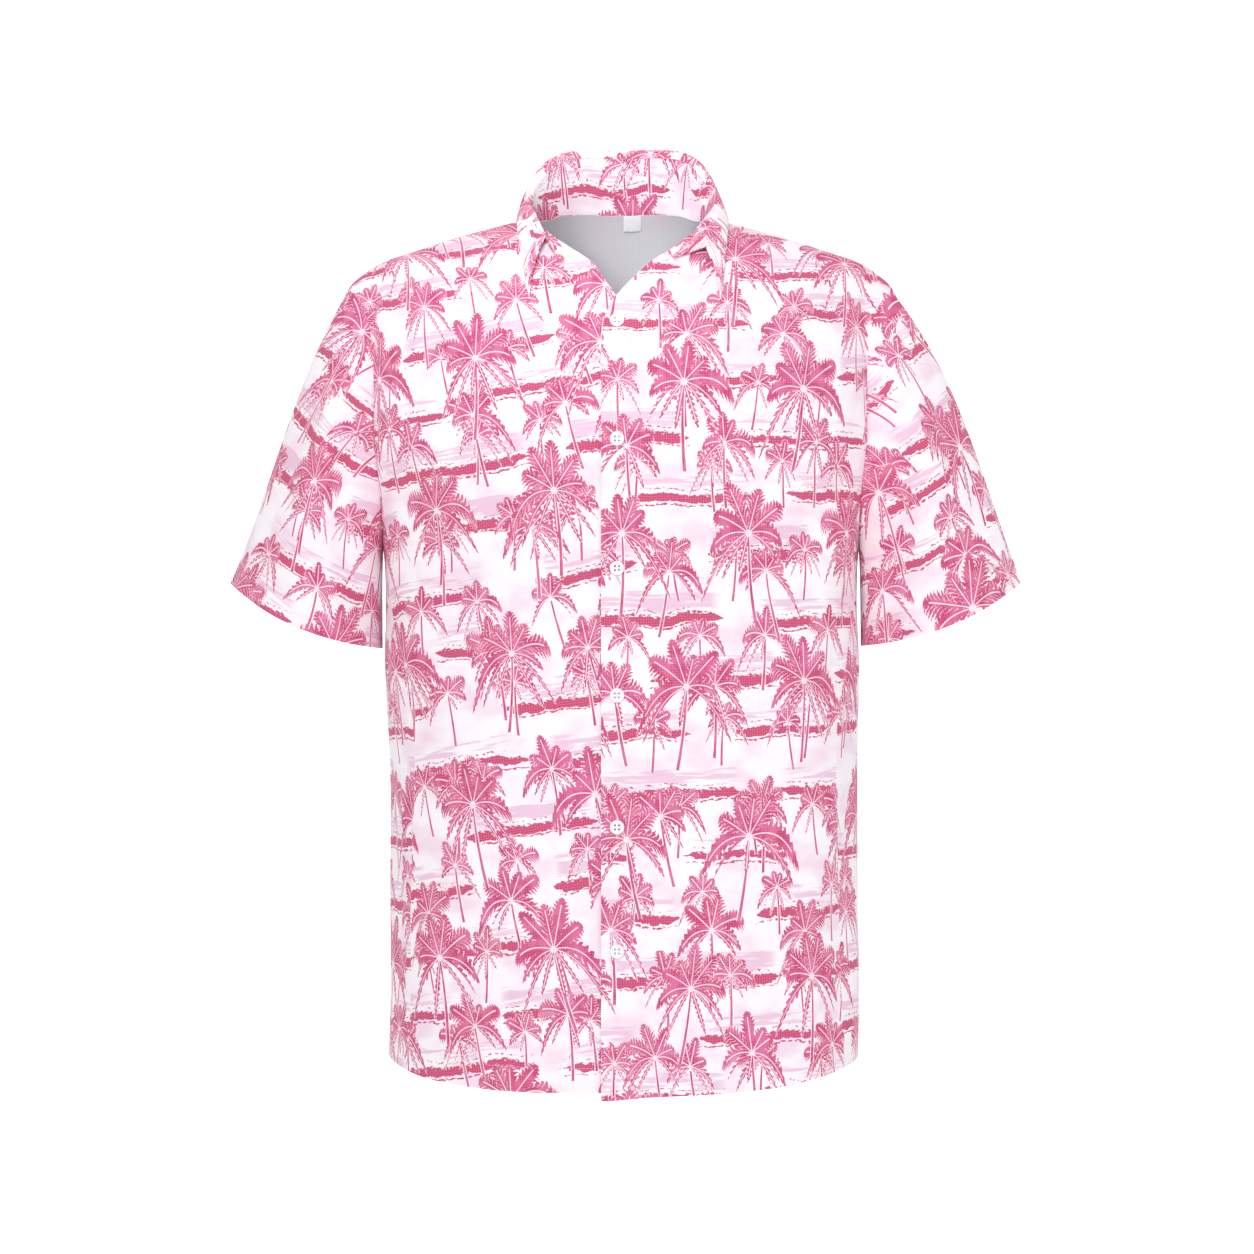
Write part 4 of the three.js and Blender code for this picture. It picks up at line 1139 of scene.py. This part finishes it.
def join(parts):
    """One list of vertices and one of faces from several."""
    vertices, faces, count = [], [], 0
    for part_vertices, part_faces in parts:
        vertices.append(part_vertices)
        faces += [tuple(int(i) + count for i in face) for face in part_faces]
        count += len(part_vertices)
    return np.concatenate(vertices), faces


THREAD_RADIUS, THREAD_APART = 0.13, 0.15
THREAD_LOW, THREAD_RISE = 0.7, 1.25
THREAD_SIDES = 5


def add_buttons():
    """Each button, with two threads through each pair of its holes."""
    base = button_mesh()
    for i, level in enumerate(BUTTON_LEVELS):
        origin, axes = button_place(level)
        name = "button_%d" % (i + 1)
        mesh = base.copy()
        rows = [[*(axes[k] * MM), origin[k] * MM] for k in range(3)]
        mesh.transform(Matrix(rows + [[0, 0, 0, 1]]))
        mesh.materials.append(BUTTON)
        smooth_sides(mesh, BUTTON_SHARP_ANGLE)
        pieces[name] = link(bpy.data.objects.new(name + "_moulding", mesh))
        threads = []
        for x in (-HOLE_OFFSET, HOLE_OFFSET):
            for shift in (-THREAD_APART, THREAD_APART):
                t = np.linspace(-1, 1, 9)
                height = THREAD_LOW + THREAD_RISE * (1 - t**4)
                line = np.stack([x + shift + 0 * t, (HOLE_OFFSET - 0.25) * t, height], -1)
                threads.append(tube(origin + line @ axes.T, THREAD_RADIUS, THREAD_SIDES))
        vertices, faces = join(threads)
        pieces[name + "_thread"] = add_mesh(name + "_thread", vertices, faces, (THREAD,))


add_buttons()


# Sewing
HEM_TURN = 20  # width of the turned hems
COLLAR_TOPSTITCH = 5  # from the leaf's edges
STITCH, STITCH_PITCH, STITCH_RADIUS = 2.3, 3.0, 0.16
HOLE_ABOVE, HOLE_BELOW, HOLE_HALF_WIDTH = 7.4, 9.2, 1.0  # buttonholes, from the button's middle
BAR_PITCH, BAR_RADIUS = 0.34, 0.17  # the bars of thread across a buttonhole's edges
BARS_ACROSS_ENDS = 3  # of them, at each end, reach across both edges
SLIT = 0.12  # half the hole's width, as a share of the edges'
STITCHES_END = 3  # rows of the leaf without stitches, at its corners


def line_at(grid, distance):
    """The line at a distance from each column's end, and how far it lies along the rows."""
    from_end = steps_along(grid[:, ::-1])
    rows = np.arange(grid.shape[1])[::-1]
    places = np.array([np.interp(distance, run, rows) for run in from_end])
    low = np.minimum(places.astype(int), grid.shape[1] - 2)
    columns = np.arange(len(grid))
    part = (places - low)[:, None]
    return lambda values: lerp(values[columns, low], values[columns, low + 1], part)


def stitched(line, out):
    """Tubes of a row of stitches whose ends dip into the cloth."""
    run = steps_along(line)
    t = np.linspace(-1, 1, 5)
    lift = STITCH_RADIUS * (1.2 - 2.4 * t**4)
    parts = []
    for i in range(int(run[-1] / STITCH_PITCH)):
        at = (i + 0.5) * STITCH_PITCH + t * STITCH / 2
        place, up = (np.stack([np.interp(at, run, values[:, k]) for k in range(3)], -1)
                     for values in (line, out))
        parts.append(tube(place + up * lift[:, None], STITCH_RADIUS, THREAD_SIDES))
    return parts


def add_stitches(name, rows):
    vertices, faces = join([part for line, out in rows for part in stitched(line, out)])
    pieces[name + "_stitches"] = add_mesh(name + "_stitches", vertices, faces, (THREAD,))


def add_hem_stitches():
    """A row above the body's hem and one above each sleeve's."""
    for name, (node, _, _, _) in BODY_PRINT.items():
        at = line_at(grids[name][:, ::-1], HEM_TURN)
        add_stitches(node, [(at(grids[name][:, ::-1]), at(normals[name][:, ::-1]))])
    for name in SLEEVES:
        at = line_at(sleeve_grids[name], HEM_TURN)
        add_stitches("sleeve_" + name, [(at(sleeve_grids[name]), at(sleeve_normals[name]))])


def add_collar_stitches(outer, through):
    """Rows beside the leaf's long edge and its two short ends."""
    at = line_at(outer, COLLAR_TOPSTITCH)
    rows = [(at(outer), at(through))]
    for end in (1, -1):
        turned, way = (values[::-end].transpose(1, 0, 2) for values in (outer, through))
        beside = line_at(turned, COLLAR_TOPSTITCH)
        fall = slice(len(turned) - ROWS_FALL, len(turned) - STITCHES_END)
        rows.append((beside(turned)[fall], beside(way)[fall]))
    add_stitches("collar_leaf", rows)


def add_buttonholes():
    """Upright holes, closed by a button's shank: two edges of close stitches and two bars."""
    for i, level in enumerate(BUTTON_LEVELS):
        origin, axes = button_place(level)
        parts = []
        count = int((HOLE_ABOVE + HOLE_BELOW) / BAR_PITCH)
        for k in range(count + 1):
            up = lerp(-HOLE_BELOW, HOLE_ABOVE, k / count)
            at_end = min(k, count - k) < BARS_ACROSS_ENDS
            for start, stop in ((-1, 1),) if at_end else ((-1, -SLIT), (SLIT, 1)):
                x = lerp(start, stop, np.linspace(0, 1, 4)) * HOLE_HALF_WIDTH
                height = 0.12 + 0.1 * np.array((-1, 1, 1, -1))
                line = np.stack([x, up + 0 * x, height], -1)
                place = np.array([front_at(BUTTON_X, level + up) - front_at(BUTTON_X, level)])
                lean = place @ axes[:, 2]
                parts.append(tube(origin + line @ axes.T + axes[:, 2] * lean, BAR_RADIUS, 4))
        vertices, faces = join(parts)
        name = "buttonhole_%d" % (i + 1)
        pieces[name] = add_mesh(name, vertices, faces, (THREAD,))


TAB_FROM_X, TAB_TO_X = 3.0, 17.6
TAPE_THICKNESS = 0.24
# The folded tape from its front layer at the seam round the fold: down, and off the cloth
TAB_SECTION = (
    (-0.4, 1.2), (1.5, 1.55), (4, 1.95), (7, 2.15), (10, 2.25), (13, 2.3), (13.9, 2.26),
    (14.3, 2.12), (14.5, 1.88), (14.45, 1.66), (14.1, 1.5), (13, 1.45), (10, 1.5), (7, 1.5),
    (4, 1.4), (1.5, 1.15), (-0.4, 0.92),
)


def inside_back(x, down, off):
    """A point inside the back, below the neckline and off the cloth's outer face."""
    grid = grids["back"]
    column = np.interp(x, grid[:, ROWS, 0], np.arange(len(grid)))
    centre = grid[COLUMNS]
    row = ROWS - down / np.linalg.norm(centre[ROWS] - centre[ROWS - 1])
    c, r = int(column), min(int(row), ROWS - 1)
    low = lerp(grid[c, r], grid[c + 1, r], column - c)
    high = lerp(grid[c, r + 1], grid[c + 1, r + 1], column - c)
    return lerp(low, high, row - r) - normals["back"][c, r] * off


def add_label():
    """The size tab, sewn in at the neck seam and folded in two."""
    xs = np.linspace(TAB_FROM_X, TAB_TO_X, 15)
    middle = np.array([[inside_back(x, down, off) for down, off in TAB_SECTION] for x in xs])
    half = normals_of(middle) * TAPE_THICKNESS / 2
    flat = np.stack(np.broadcast_arrays(xs[:, None], steps_along(middle)), -1)
    pieces["label"] = add_wall("label_tab", middle + half, middle - half, flat, (TAPE, TAPE))


add_hem_stitches()
add_collar_stitches(*collar_surface)
add_buttonholes()
add_label()

# Pieces hung on the root empty, and the imported solids they stand for hidden
NODES = ("front_left", "front_right", "back", "sleeve_left", "sleeve_right",
         "collar_stand", "collar_leaf")
for name in NODES:
    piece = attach(pieces[name], "root")
    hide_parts(name)
    sewn = [pieces[key] for key in (name + "_stitches",) if key in pieces]
    for stitches in sewn:
        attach(stitches, "root")
for i in range(1, 7):
    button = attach(pieces["button_%d" % i], "root")
    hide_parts("button_%d" % i)
    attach(pieces["button_%d_thread" % i], "root")
    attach(pieces["buttonhole_%d" % i], "root")
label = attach(pieces["label"], "root")
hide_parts("label")


# Floor and light
# The floor's section from the front to the top of the backdrop: y and z, in metres
FLOOR_SECTION = ((-6, -1.6), (2.5, -1.6), (4.5, -1.45), (5.6, -1.0), (6.0, -0.2), (6.0, 7))
FLOOR_HALF_WIDTH = 14
GLOW_STARTS_Y, GLOW_FULL_Y = 1.5, 4.0
GLOW = 0.7


def add_stage():
    """A pale floor that sweeps up into a backdrop, which is lit up as in a white studio."""
    mesh = bpy.data.meshes.new("floor")
    ends = (-FLOOR_HALF_WIDTH, FLOOR_HALF_WIDTH)
    vertices = [(x, y, z) for x in ends for y, z in FLOOR_SECTION]
    count = len(FLOOR_SECTION)
    faces = [(i, i + 1, count + i + 1, count + i) for i in range(count - 1)]
    mesh.from_pydata(vertices, [], faces)
    mesh.polygons.foreach_set("use_smooth", np.ones(len(faces), bool))
    paint = Paint("pale_floor")
    place = paint.node("ShaderNodeTexCoord")[3]
    y = paint.node("ShaderNodeSeparateXYZ", None, {0: place})[1]
    glow = y.ramp(GLOW_STARTS_Y, GLOW_FULL_Y)
    mesh.materials.append(paint.finish(
        Base_Color=srgb(244, 244, 245), Roughness=0.9, Emission_Strength=GLOW,
        Emission_Color=paint.mix((0, 0, 0, 1), (1, 1, 1, 1), glow)))
    link(bpy.data.objects.new("floor", mesh))


def add_area(name, location, target, size, watts, spread=180):
    """A square or oblong studio lamp that faces a target, in metres."""
    data = bpy.data.lights.new(name, "AREA")
    data.shape = "RECTANGLE"
    data.size, data.size_y = size
    data.energy = watts
    data.spread = math.radians(spread)
    lamp = link(bpy.data.objects.new(name, data))
    lamp.location = location
    way = Vector(target) - Vector(location)
    lamp.rotation_euler = way.to_track_quat("-Z", "Y").to_euler()


WORLD_LIGHT = 0.62


def add_light():
    """Even studio light, a key from the front, a little fill, and a small lamp for the neck."""
    scene = bpy.context.scene
    scene.world = bpy.data.worlds.new("studio")
    scene.world.use_nodes = True
    background = scene.world.node_tree.nodes["Background"]
    background.inputs[0].default_value = (1, 1, 1, 1)
    background.inputs[1].default_value = WORLD_LIGHT
    scene.view_settings.view_transform = "Standard"
    scene.view_settings.look = "None"
    add_area("key", (-0.5, -3.1, 0.85), (0, 0, -0.3), (1.3, 1.3), 45)
    add_area("fill", (2.6, -1.6, 0.2), (0.1, 0, -0.4), (1.2, 2.0), 12)
    add_area("neck_light", (-0.8, -1.5, 0.5), (0.02, 0.07, -0.01), (0.3, 0.3), 0.14, spread=14)


add_stage()
add_light()
